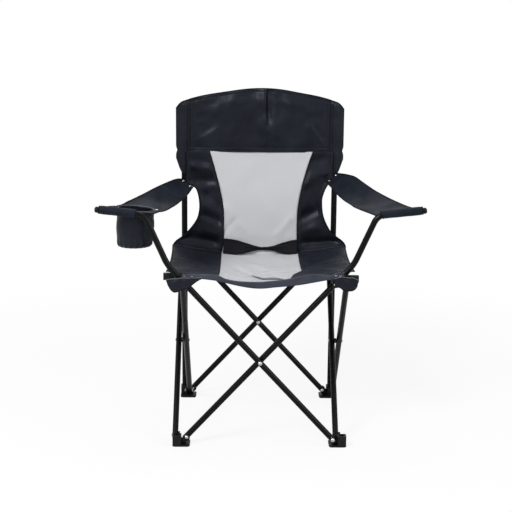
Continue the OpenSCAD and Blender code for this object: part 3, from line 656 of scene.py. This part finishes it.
strap = cloth("lumbar_band", strap_place, 80, 20, webbing, 1.2)
set_on(strap, "rear_left", ["lumbar_strap"], BACK)
knot = [(14.0, 187.6, 428.0), (14.2, 186.8, 430.5), (14.2, 186.8, 434.0), (14.0, 187.8, 436.5)]
set_on(piping("lumbar_gather", knot, 1.6, webbing), "rear_left", gather=BACK)
show(strap)

# %% [markdown]
# ## The headrest
# The headrest is two layers of oxford with a thin pad between them, closed by an arched top seam and a hem with
# two rows of stitches. Its front is a grid that swells towards the middle, its back is a copy moved behind it, and
# the two rims are bridged, so the pad is one closed form. A deep crease falls from the top of the arch.

# %% Headrest pad
HALF, POST_Y, TOP_ROW, HEM_ROWS, SIDE_SEAMS = 192.2, 208, 8, (703.5, 711.5), (-178, 178)
HEAD_FOLDS = [((12, 884), (16, 768), 6.5, 5, 15), ((23, 876), (22, 772), -6.0, 11, 5),
              ((16, 800), (12, 712), 2.4, 6, 10), ((-150, 812), (-60, 846), 2.8, 14, 20),
              ((50, 842), (160, 806), 2.8, 18, 12), ((-174, 728), (-110, 764), 2.4, 9, 14),
              ((172, 722), (128, 778), 2.6, 14, 9)]


def head_top(x):
    """Upper edge of the pad: the arch, sagging a little on either side of the crease."""
    return arch_z(x) - 2.0 - 3.2 * bell(x + 95, 60) - 2.5 * bell(x - 110, 45)


def head_swell(u, v):
    return 6.5 * (0.35 + 0.65 * sqrt(bow(u) * bow(v)))


def head_front(u, v):
    x = (2 * u - 1) * HALF
    z = mix(HEAD_LOW, head_top(x), v)
    y = POST_Y - head_swell(u, v) - folds(x, z, HEAD_FOLDS)
    y -= (3.0 * rumple(x, z, 58, 9.3) + 0.9 * rumple(x, z, 23, 4.1)) * min(1.0, 5 * bow(u)) * min(1.0, 4 * bow(v))
    y += sum(0.9 * bell(z - row, 1.3) for row in HEM_ROWS) + sum(0.9 * bell(x - seam, 1.6) for seam in SIDE_SEAMS)
    return x, y + bell(z - head_top(x) + TOP_ROW, 1.5), z


def head_back(u, v):
    x, y, z = head_front(u, v)
    return x, POST_Y + head_swell(u, v) + 0.8 * rumple(x, z, 60, 4.4) * bow(u) * bow(v), z


def pad(name, front, back, across, down, finish_of):
    bm, at = placed_grid(front, across, down)
    copy = bmesh.ops.duplicate(bm, geom=bm.verts[:] + bm.edges[:] + bm.faces[:])
    for (i, j), vert in at.items():
        copy["vert_map"][vert].co = Vector(back(i / across, j / down)) * MM
    bmesh.ops.bridge_loops(bm, edges=[e for e in bm.edges if e.is_boundary])
    bmesh.ops.recalc_face_normals(bm, faces=bm.faces)
    return keep_mesh(name, bm, finish_of)


head_pad = pad("headrest_pad", head_front, head_back, 190, 90, oxford)
set_on(head_pad, "rear_left", ["headrest"], BACK)
show(head_pad)

# %% Headrest seams
def on_head(x, z):
    v = (z - HEAD_LOW) / (head_top(x) - HEAD_LOW)
    p = head_front((x / HALF + 1) / 2, max(0.0, min(1.0, v)))
    return p[0], p[1] - 0.5, p[2]


wide = [mix(-188, 188, t) for t in STEPS]
rows = [[on_head(x, row) for x in wide] for row in HEM_ROWS] + [[on_head(x, head_top(x) - TOP_ROW) for x in wide]]
rows += [[on_head(x, mix(702, head_top(x) - 9, t)) for t in STEPS] for x in SIDE_SEAMS]
sew("headrest_stitches", rows, "rear_left", BACK)
top_edge = [(x, POST_Y - 0.4, head_top(x) - 0.6) for x in [mix(-HALF, HALF, t) for t in STEPS]]
bind("headrest_top_binding", top_edge, 2.6, "rear_left", BACK)
print("headrest seams on", len(rows), "rows")

# %% [markdown]
# ## Sleeves over the posts
# At each side the headrest ends in a pocket that is pulled over the post. The cloth goes round the tube, is flat
# towards the headrest, where it is sewn, and flat outside, where the seam allowance is. A closed outline whose
# half thickness falls from the tube to both flats is swept upwards, and it closes to a seam at the top.

# %% Head sleeves
POST_X, POST_TOP = 208, 829
SLEEVE_LOW = [(-17.0, 641), (-6, 639), (5, 641), (12, 654), (22, 682)]


def sleeve_bottom(dx):
    for (x0, z0), (x1, z1) in zip(SLEEVE_LOW, SLEEVE_LOW[1:]):
        if dx <= x1:
            return mix(z0, z1, max(0.0, (dx - x0) / (x1 - x0)))


def head_sleeve_place(side):
    def place(u, v):
        a = 2 * pi * u
        c = cos(a)
        reach = 21.6 if c > 0 else 17.0
        dx = reach * c
        corner = 12 * max(0.0, (dx - 2) / 19.6) ** 2
        top = arch_z(POST_X + dx) - 2.5 - corner
        z = mix(sleeve_bottom(dx), top, v)
        half = 1.0 + 9.6 * (1 - (abs(dx) / reach) ** 2) ** 2.0
        close = ramp(z, POST_TOP, top + 0.1) if top > POST_TOP + 0.5 else 0.0
        half = mix(half, 1.2, close ** 1.5)
        half += 0.5 * rumple(dx * side, z, 26, 6.1 + side) * (1 - abs(c) ** 3)
        tuck = 3.2 * bell(z - 704, 7) * max(0.0, c) ** 2
        return side * (POST_X + dx - tuck), POST_Y - half * sin(a), z
    return place


for side, word in SIDES:
    place, body = head_sleeve_place(side), f"rear_{word}"
    sleeve = cloth(f"{word}_post_sleeve", place, 64, 70, oxford, 0.9, wrap=True)
    set_on(sleeve, body, [f"{word}_head_sleeve"])
    bind(f"{word}_sleeve_edge", line(place, 0), 1.5, body)
    bind(f"{word}_sleeve_top", line(place, v=1, steps=[0.5 * t for t in shares(24)]), 2.1, body)
    bind(f"{word}_sleeve_hem", line(place, v=0, steps=shares(40)[:-1]), 1.3, body, ring=True)
    sew(f"{word}_sleeve_stitches", [line(place, 0.055, shift=(0, -0.4, 0))], body)
print("sleeves on both posts")

# %% [markdown]
# ## The seat
# The seat is the same hammock all over: mesh in the middle, oxford at the sides. It is parted across its
# middle, where it bends when the chair folds, and each half rides its own body. The slack at its front pulls the
# mesh into ripples and into one real lap, where the cloth doubles over itself.

# %% Seat mesh
HALVES = (("seat_front", FRONT_Y, -0.2), ("seat_rear", 0.2, REAR_Y))
SEAT_FOLDS = [((-60, 60), (-8, -40), -5.0, 10, 18), ((10, 30), (70, -60), 4.0, 22, 14),
              ((-100, -60), (-40, -150), -4.5, 14, 9), ((-70, 150), (40, 40), 2.4, 18, 12)]


def seat_slack(x, y):
    return (folds(x, y, SEAT_FOLDS) + 2.0 * rumple(x, y, 60, 1.9)) * (1 - ramp(x, 70, 92) * ramp(-y, 30, 50))


def lap(x, y, start, end, reach, height):
    """Moves a point of the mesh so that the cloth to the right of the line laps over the cloth to its left."""
    t, d, ex, ey = beside(x, y, start, end)
    d = -d
    fade = ramp(t, 0.0, 0.35) * (1 - ramp(t, 1.0, 1.3))
    q = d / 2.6
    push = -reach * fade * q * exp(0.5 * (1 - q * q))
    over = (0.5 * tanh(1.2 * q) + 0.5) * exp(-max(0.0, d) / 26)
    return x - push * ey, y + push * ex, height * fade * (over - 0.3 * bell(d + 3, 8))


def seat_free(u, y, rim):
    """Share to which a point of the seat can move: none at its seams and where the halves meet."""
    return min(1.0, 5 * bow(u)) * ramp(abs(y), 0, 14) * ramp(abs(y - FRONT_Y), 0, rim) * ramp(REAR_Y - y, 0, 30)


def seat_mesh_place(y0, y1):
    def place(u, v):
        x, y = mix(-SEAT_SEAM[-1] - 0.8, SEAT_SEAM[1] + 0.8, u), mix(y0, y1, v)
        free = seat_free(u, y, 30)
        z = seat_z(x, y) - SKIN + seat_slack(x, y) * free
        if y1 > 0:
            return x, y, z
        px, py, lift = lap(x, y, (-58, 72), (42, -136), 8.5 * free, 8.0 * free)
        return px, py, z + lift
    return place


for (half, y0, y1), points in zip(HALVES, ((150, 120), (70, 60))):
    piece = cloth(f"{half}_mesh", seat_mesh_place(y0, y1), *points, mesh_cloth, 1.0)
    set_on(piece, half, [half.replace("seat", "seat_mesh")], SEAT)
    show(piece)

# %% [markdown]
# ## Sides of the seat
# The oxford at both sides runs from the mesh to the outer hem. At the front corners it is cut back, where the
# arm tubes rise past it. Rows and columns of the grid are set on that cut, so its edge is straight.

# %% Seat sides
CUT_X, CUT_Y = 176.5, {-1: -204.0, 1: -184.5}


def seat_side_place(side, y0, y1):
    def place(u, v):
        y = mix(y0, y1, v)
        if y1 < 0:
            stop = CUT_Y[side]
            y = mix(y0, stop, v / 0.1) if v < 0.1 else mix(stop, y1, (v - 0.1) / 0.9)
        x = mix(SEAT_SEAM[side], CUT_X, u / 0.5) if u < 0.5 else mix(CUT_X, seat_w(along(y)), (u - 0.5) / 0.5)
        slack = [((side * 120, 20), (side * 215, 120), -4.0, 14, 18),
                 ((side * 118, -60), (side * 200, -150), 3.5, 16, 12)]
        loose = 2.0 * rumple(side * x, y, 50, 7.7 + side) + folds(side * x, y, slack)
        return side * x, y, seat_z(side * x, y) - SKIN + seat_free(u, y, 26) * loose
    return place


def seat_cut(side):
    return lambda c: abs(c.x) > CUT_X and c.y < CUT_Y[side]


for side, word in SIDES:
    for half, y0, y1 in HALVES:
        place = seat_side_place(side, y0, y1)
        first, cut = (0.1, seat_cut(side)) if y1 < 0 else (0.0, None)
        piece = cloth(f"{half}_{word}_side", place, 24, 40, seat_oxford_painted_sheen, cut=cut)
        set_on(piece, half, [half.replace("seat", "seat_sides")], SEAT)
        whole = [mix(first, 1, t) for t in STEPS]
        bind(f"{half}_{word}_binding", line(place, 1, steps=whole), 1.9, half, SEAT)
        bind(f"{half}_{word}_seam", line(place, 0.0, shift=(side, 0, 1)), 0.9, half, SEAT)
        rows = [line(place, 0.05, shift=(0, 0, 0.8)), line(place, 0.96, shift=(0, 0, 0.8), steps=whole)]
        sew(f"{half}_{word}_stitches", rows, half, SEAT)
print("four side panels of the seat")

# %% [markdown]
# ## Where the back meets the seat
# The dark sides of the back are sewn to the rear edge of the seat. A cord of binding along that edge closes the
# corner between the two; its lighter hem cloth is a painted highlight for the thin bright line of a bound seam.

# %% Rear seam
for side, word in SIDES:
    across = [mix(SEAT_SEAM[side], 237, t) for t in shares(60)]
    rear_edge = [(side * x, REAR_Y - 0.4, seat_z(x, REAR_Y) + 0.2) for x in across]
    # The cord's lighter colour is a painted highlight along the seam.
    bind(f"seat_rear_{word}_binding", rear_edge, 1.1, "rear_left", BACK, hem_cloth_painted_sheen)
print("rear seams of", len(rear_edge), "points each")

# %% [markdown]
# ## A dark sheet of painted shade
# At the front right a thin dark sheet lies over the corner of the mesh, so that the mesh ends in a slanting edge. It
# is painted shade for the deep shadow between the mesh and the hem, and it lies on the seat and follows its shape.

# %% Front sheet of painted shade
SHADE_LAP_EDGE = [(-213, 74), (-150, 80), (-112, 85), (-86, 93), (-50, 107), (-40, 109)]


def shade_lap_place(u, v):
    y = mix(-213, -40, v)
    edge = curve_at(SHADE_LAP_EDGE, y)
    x = mix(edge, 114, u)
    return x, y, seat_z(x, y) + 1.2 + 2.0 * (1 - ramp(x - edge, 0, 14)) * bow(v)


# A dark sheet standing for the shadow between the mesh and the hem: painted shade.
shade_lap_sheet = cloth("seat_front_painted_shade_lap", shade_lap_place, 40, 60, seat_oxford_painted_sheen, 0.8)
set_on(shade_lap_sheet, "seat_front", gather=SEAT)
show(shade_lap_sheet)

# %% [markdown]
# ## Front hem
# The front edge of the seat is turned over twice and sewn, so it is a stiff band that stands a little proud. The
# band starts on top of the seat, rolls over the edge and hangs 15 mm down in the middle.

# %% Front hem
HEM_LOW = [(-196, 437.5), (-167, 437), (-137, 434.2), (-109, 430.5), (-85, 424.9), (-41, 415.5), (-5, 411.6), (35, 415),
           (69, 418), (103, 422.6), (132, 428), (163, 434), (206, 438)]


def hem_place(u, v):
    x = mix(-193, 203, u)
    step = 5 * ramp(x, 172, 182) - 1.2 * ramp(abs(x), 150, 180)
    if v < 0.4:
        y = mix(-213 if abs(x) < 170 else -221.5, -225.6, v / 0.4)
        return x, y, seat_z(x, max(y, FRONT_Y)) + 0.5 + step
    t = (v - 0.4) / 0.6
    y = -226.1 - 1.3 * bow(t) + 0.7 * rumple(x, t * 15, 34, 8.8)
    return x, y, mix(seat_z(x, FRONT_Y) + 0.3 + step, curve_at(HEM_LOW, x), t)


# The band's lighter colour is painted sheen on its front.
hem = cloth("seat_front_band", hem_place, 130, 20, hem_cloth_painted_sheen, 1.2)
set_on(hem, "seat_front", ["seat_front_hem"], SEAT)
rows = [line(hem_place, v=0.93, shift=(0, -0.8, 0)), line(hem_place, v=0.06, shift=(0, 0, 0.9))]
sew("seat_front_stitches", rows, "seat_front", SEAT)
show(hem)

# %% [markdown]
# ## Corner pockets
# At each front corner a shaped flap is folded over the plastic horn that spreads the seat. Pale piping and two
# eyelets finish its top edge. The flap is a grid between its top edge and the curve of its lower edge.

# %% Corner pockets
POCKET_TOP = {-1: [(144, 438), (172, 437), (190, 437), (208, 435.5), (224, 434), (231, 432.5)],
              1: [(180, 438), (196, 442), (214, 440), (228, 439.5), (237, 435)]}
POCKET_LOW = {-1: [(144, 436), (156, 430), (167, 421.5), (178, 412), (190, 409), (202, 404), (211, 402), (218, 406),
                   (226, 419), (231, 431)],
              1: [(180, 419), (187, 418), (195, 415), (203, 409), (213, 407.5), (226, 409.5), (234, 418), (237, 430)]}
POCKET_RINGS = {-1: ((187, 443.5), (169, 442.5)), 1: ((183, 446), (193, 445.5))}


def pocket_place(side):
    low, top = POCKET_LOW[side], POCKET_TOP[side]

    def place(u, v):
        x = mix(low[0][0], low[-1][0], u)
        z = mix(curve_at(low, x), curve_at(top, x), v)
        y = -227.9 - 1.8 * bow(u) * bow(v) + 1.3 * rumple(x, z, 20, 3.3 + side) * bow(u)
        return side * x, y - crease(x, z, (226, 410), (196, 436), 1.6, 5, 8), z
    return place


for side, word in SIDES:
    place, body = pocket_place(side), f"front_{word}_corner"
    set_on(cloth(f"{word}_pocket_flap", place, 50, 24, oxford, 1.2), body, [f"{word}_corner_pocket"])
    bind(f"{word}_pocket_binding", line(place, v=0, shift=(0, -0.2, 0)), 1.4, body)
    bind(f"{word}_pocket_piping", line(place, v=1, shift=(0, -0.2, 0.4)), 0.9, body, finish_of=pale_piping)
    rings = [((side * x, -227.2, z), (0, -0.9, 0.5)) for x, z in POCKET_RINGS[side]]
    set_on(eyelets(f"{word}_pocket_eyelets", rings, 1.9, 0.45), "seat_front", gather=SEAT)
    sew(f"{word}_pocket_stitches", [line(place, v=0.16, shift=(0, -0.9, 0), steps=STEPS[3:-3])], body)
print("pockets on both front corners")

# %% [markdown]
# ## Armrests
# Each armrest is a band of oxford from the sleeve on the arm tube back to the post, and it droops between them.
# It bends near its rear end when the chair folds, so it is two sheets. The left one has a round hole for the cup
# holder: points near the circle are moved onto it and the faces inside are left out. The right one is pulled
# tighter. ARM_SHIFT holds how far each edge lies off that plain shape, by taut or not and by inner or outer edge.

# %% Armrest shape
CUP, CUP_R, CUP_LEAN, FOLD = (-309.0, -150.0), 44.0, 0.085, 0.7
ARMS = ((-1, "left", 213.5, "front_outer"), (1, "right", 194.0, "front_inner"))
ARM_SHIFT = {(0, 0): [(0, -3), (0.33, -4.2), (0.55, -8), (0.73, -9.5), (0.89, -9), (1, -4.8)],
             (0, 1): [(0, 0), (0.08, -3), (0.26, -5.6), (0.45, -1.8), (0.65, 3.5), (0.85, 4), (0.93, 1.3), (1, -4)],
             (1, 0): [(0, -8), (0.29, -1.4), (0.56, -5.5), (0.74, -5), (0.85, -1.6), (1, 0)],
             (1, 1): [(0, 0), (0.08, -5), (0.21, -5.3), (0.49, -3.3), (0.59, -0.5), (0.68, 3.2), (0.76, 6.5),
                      (0.84, 4.4), (1, 0)]}


def armrest_point(s, v, plane):
    taut = 1 if plane < 200 else 0
    front = (mix(248.2, 386.2, s), -plane + 11.17, mix(596.09, 607.05, s))
    rear = (mix(184, 213, s), mix(191, 197, s), mix(609.1, 630.1, s) + taut * mix(12, 14, s))
    p = [mix(a, b, v) for a, b in zip(front, rear)]
    p[0] += 8 * bow(v) * (1 - s)
    p[2] += taut * s * 8 * 9.48 * v ** 3 * (1 - v) - mix(13 - 4 * taut, 5, s) * bow(v) - SKIN
    p[2] += mix(curve_at(ARM_SHIFT[taut, 0], v), curve_at(ARM_SHIFT[taut, 1], v), s)
    p[0] += (1 - s) * (14 + 20 * taut) * (1 - ramp(v, 0, 0.3))
    return p


def armrest_place(side, plane, v0, v1):
    def place(u, v):
        share = mix(v0, v1, v)
        p = armrest_point(u, share, plane)
        free = min(1.0, 5 * bow(u)) * min(1.0, 12 * share, 12 * (1 - share)) * ramp(abs(share - FOLD), 0, 0.06)
        p[2] += free * (1.6 * rumple(side * p[0], p[1], 48, 2.6 + side) - 3.0 * bow(u) * bow(share))
        p[2] += free * crease(p[0], p[1], (250, -120), (262, 60), -1.8, 12, 16)
        if side < 0 and v1 < 0.9:
            away = Vector((-p[0] - CUP[0], p[1] - CUP[1]))
            if abs(away.length - CUP_R) < 2.6:
                away = away.normalized() * CUP_R
                p[0], p[1] = -(CUP[0] + away.x), CUP[1] + away.y
            p[2] = mix(594.6 + CUP_LEAN * (CUP[0] + p[0]), p[2], ramp(away.length, CUP_R, CUP_R + 26))
        return side * p[0], p[1], p[2]
    return place


def in_cup(centre):
    return hypot(centre.x - CUP[0], centre.y - CUP[1]) < CUP_R - 0.2


# %% Armrest sheets
for side, word, plane, _ in ARMS:
    for end, v0, v1, across, down in (("front", 0, FOLD - 0.0005, 44, 84), ("rear", FOLD + 0.0005, 1, 30, 34)):
        place, body = armrest_place(side, plane, v0, v1), f"{word}_armrest_{end}"
        hole = in_cup if side < 0 and end == "front" else None
        piece = cloth(f"{word}_arm_{end}_cloth", place, across, down, seat_oxford_painted_sheen, 1.4, cut=hole)
        set_on(piece, body, [body])
        for u, edge_word in ((0, "inner"), (1, "outer")):
            bind(f"{word}_arm_{end}_{edge_word}_binding", line(place, u), 2.0, body)
        sew(f"{word}_arm_{end}_stitches", [line(place, u, shift=(0, 0, 1)) for u in (0.055, 0.945)], body)
    corner = armrest_place(side, plane, FOLD, 1)
    rings = [(spot, (0, 0, 1)) for spot in line(corner, v=0.93, shift=(0, 0, 0.9), steps=(0.2, 0.8))]
    set_on(eyelets(f"{word}_arm_eyelets", rings, 3.4, 1.2), f"{word}_armrest_rear")
print("armrests in four sheets")

# %% [markdown]
# ## Sleeves on the arm tubes
# The front end of each armrest is sewn into a sleeve that holds the straight rest of the arm tube. The sleeve is
# a closed outline round the tube, drawn out towards the armrest where its seam is, and it is swept along the
# tube. It narrows at the tip, where the black cap shows.

# %% Arm sleeves
BEND, BEND_R, BEND_RUN, LEVEL = (284.33, 590.09), 34, 19.6, radians(6)
SLEEVE_R, SLEEVE_SEAM, SEAM_AT = 9.2, 2.3, 0.9


def arm_line(run):
    """Middle of the arm tube and its slope, run mm past the bend point: a curve, then straight."""
    straight = max(run, BEND_RUN)
    slope = LEVEL + max(0.0, (BEND_RUN - run) / BEND_R)
    x = BEND[0] + straight * cos(LEVEL) + BEND_R * (sin(LEVEL) - sin(slope))
    z = BEND[1] + straight * sin(LEVEL) - BEND_R * (cos(LEVEL) - cos(slope))
    return x, z, slope


def arm_sleeve_place(side, plane):
    def place(u, v):
        run = mix(10.0 if side > 0 else 21.0, 110.0, v)
        a = 2 * pi * u
        reach = SLEEVE_R + SLEEVE_SEAM * max(0.0, cos(a - SEAM_AT)) ** 5
        if u not in (0, 1):
            reach += 0.3 * rumple(4 * a, run, 19, 5.5 + side) * (1 - abs(cos(a)) ** 8)
            reach -= 0.7 * ramp(v, 0.9, 1.0) + 0.5 * (1 - ramp(v, 0.0, 0.08))
        back, up = reach * cos(a), reach * sin(a)
        x, z, slope = arm_line(run)
        return side * (x - up * sin(slope)), -plane + back, z + up * cos(slope)
    return place


for side, word, plane, body in ARMS:
    place = arm_sleeve_place(side, plane)
    piece = cloth(f"{word}_arm_sleeve_cloth", place, 40, 44, seat_oxford_painted_sheen, 0.9, wrap=True)
    set_on(piece, body, [f"{word}_arm_sleeve"])
    for v, end in ((0.0, "inner"), (1.0, "tip")):
        ring = line(place, v=v, steps=shares(28)[:-1])
        bind(f"{word}_sleeve_{end}_hem", ring, 1.2, body, ring=True)
    sew(f"{word}_arm_sleeve_stitches", [line(place, 0.86)], body)
print("sleeves on both arm tubes")

# %% [markdown]
# ## The cup holder
# A pouch of oxford hangs through the hole in the left armrest. Its wall is gathered into its round floor, which
# shows as short ribs near the bottom, and its mouth is bound with pale piping. The profile runs from the middle
# of the floor, round the lower edge and up the wall.

# %% Cup holder
CUP_TOP, CUP_H = 595.0, 94.5


def cup_place(u, v):
    a = 2 * pi * u
    if v < 0.3:
        r, h = mix(0.0, 33, v / 0.3), 1.0
    elif v < 0.42:
        t = (v - 0.3) / 0.12 * pi / 2
        r, h = 33 + 8.3 * sin(t), 9.3 - 8.3 * cos(t)
    else:
        t = (v - 0.42) / 0.58
        r, h = mix(41.3, 43.8, t) + 1.6 * bow(t), mix(9.3, CUP_H, t)
    ribs = bell(h - 8, 15) * ramp(v, 0.12, 0.32)
    slack = rumple(30 * cos(a), h + 30 * sin(a), 26, 4.7) * ramp(v, 0.3, 0.6) * (1 - ramp(v, 0.85, 1.0))
    r += ribs * 1.3 * cos(18 * a) + 1.4 * slack
    x = CUP[0] + 1.03 * r * cos(a) - 1.5 - 4 * (1 - h / CUP_H)
    lean = CUP_LEAN * (CUP[0] - x) * (h / CUP_H) ** 2
    return x, CUP[1] + r * sin(a), CUP_TOP - CUP_H + h + lean


cup_body = "left_armrest_front"
cup = cloth("cup_pouch", cup_place, 96, 60, oxford, 1.2, wrap=True)
set_on(cup, cup_body, ["cup_holder"])
mouth = [(CUP[0] + 44.2 * cos(a), CUP[1] + 44.2 * sin(a), CUP_TOP + 0.6 - 3.76 * cos(a))
         for a in [2 * pi * t for t in shares(48)[:-1]]]
bind("cup_mouth_piping", mouth, 1.0, cup_body, finish_of=pale_piping, ring=True)
rings = [((CUP[0] - 52, CUP[1], 602.4), (0, 0, 1)), ((CUP[0] + 50, CUP[1], 592.6), (0, 0, 1))]
set_on(eyelets("cup_eyelets", rings, 3.0, 1.0), cup_body)
show(cup)

# %% [markdown]

# %% [markdown]
# ## Studio
# The floor and the walls are white, and the light is soft and even: a bright sky with three large panels. Rays
# from the camera see the floor mostly as plain white, so the ground stays pale while the chair keeps a soft shadow.

# %% Floor and light
def make_floor():
    bm = bmesh.new()
    bmesh.ops.create_grid(bm, x_segments=8, y_segments=8, size=9.0)
    mat = bpy.data.materials.new("white_paper")
    mat.use_nodes = True
    tree = mat.node_tree
    tree.nodes.clear()
    rays = add(tree, "ShaderNodeLightPath")
    paper = add(tree, "ShaderNodeBsdfDiffuse", {"Color": srgb("#f4f4f4")})
    white = add(tree, "ShaderNodeEmission", {"Color": (1, 1, 1, 1), "Strength": 1.0})
    away = add(tree, "ShaderNodeVectorMath", {0: (add(tree, "ShaderNodeTexCoord"), "Object")}, operation="LENGTH")
    fade = add(tree, "ShaderNodeMapRange", {"Value": (away, "Value"), "From Min": 0.5, "From Max": 2.0,
                                            "To Min": 0.86, "To Max": 1.0}, interpolation_type="SMOOTHSTEP")
    seen = calc(tree, "MULTIPLY", (rays, "Is Camera Ray"), (fade, "Result"))
    both = add(tree, "ShaderNodeMixShader", {0: seen, 1: (paper, "BSDF"), 2: (white, "Emission")})
    add(tree, "ShaderNodeOutputMaterial", {"Surface": (both, "Shader")})
    floor = keep_mesh("studio_floor", bm, mat)


def make_world():
    world = bpy.data.worlds.new("white_room")
    scene.world = world
    world.use_nodes = True
    tree = world.node_tree
    tree.nodes.clear()
    rays = add(tree, "ShaderNodeLightPath")
    once = calc(tree, "MAXIMUM", (rays, "Is Camera Ray"), (rays, "Is Glossy Ray"))
    level = spread(tree, calc(tree, "MAXIMUM", once, (rays, "Is Transmission Ray")), 0.36, 1.0)
    sky = add(tree, "ShaderNodeBackground", {"Color": (1, 1, 1, 1), "Strength": level})
    add(tree, "ShaderNodeOutputWorld", {"Surface": (sky, "Background")})


def panel_light(name, at, look, size, power):
    light = bpy.data.lights.new(name, "AREA")
    light.shape = "RECTANGLE"
    light.size, light.size_y = size
    light.energy = power
    obj = bpy.data.objects.new(name, light)
    obj.location = at
    obj.rotation_mode = "QUATERNION"
    obj.rotation_quaternion = (Vector(look) - Vector(at)).to_track_quat("-Z", "Y")
    scene.collection.objects.link(obj)


make_floor()
make_world()
panel_light("key", (-1.7, -2.3, 2.6), (0, 0, 0.45), (1.1, 1.1), 92)
panel_light("fill", (2.2, -1.6, 1.7), (0, 0, 0.5), (1.2, 1.8), 24)
panel_light("top", (0.3, 0.6, 3.0), (0, 0, 0.4), (2.0, 1.4), 16)
print("floor, sky and three soft panels")

# %% [markdown]
# ## Camera
# The camera stands three metres in front of the chair at a little over one metre, looks down by eleven degrees and
# leans by half a degree. Its place comes from lines in the photograph, such as the feet and the crossings. The
# frame is square, 512 by 512.

# %% Camera
YAW, TILT, LEAN = radians(0.6572), radians(11.2762), radians(0.5119)
CAMERA_AT, FOCAL_PIXELS, PICTURE, SENSOR = (-0.0446, -2.9980, 1.0457), 1163.076, 512, 36.0
forward = Vector((sin(YAW) * cos(TILT), cos(YAW) * cos(TILT), -sin(TILT)))
flat_right = forward.cross(Vector((0, 0, 1))).normalized()
flat_up = flat_right.cross(forward)
right = flat_right * cos(LEAN) + flat_up * sin(LEAN)
up = flat_up * cos(LEAN) - flat_right * sin(LEAN)
lens = bpy.data.cameras.new("camera")
lens.sensor_width = SENSOR
lens.lens = FOCAL_PIXELS * SENSOR / PICTURE
camera = bpy.data.objects.new("camera", lens)
camera.matrix_world = Matrix([(*axes, at) for *axes, at in zip(right, up, -forward, CAMERA_AT)] + [(0, 0, 0, 1)])
scene.collection.objects.link(camera)
scene.camera = camera
print("lens", round(lens.lens, 2), "mm")

# %% [markdown]
# ## Finish
# The last cell brings the scene up to date.

# %% Finish
bpy.context.view_layer.update()
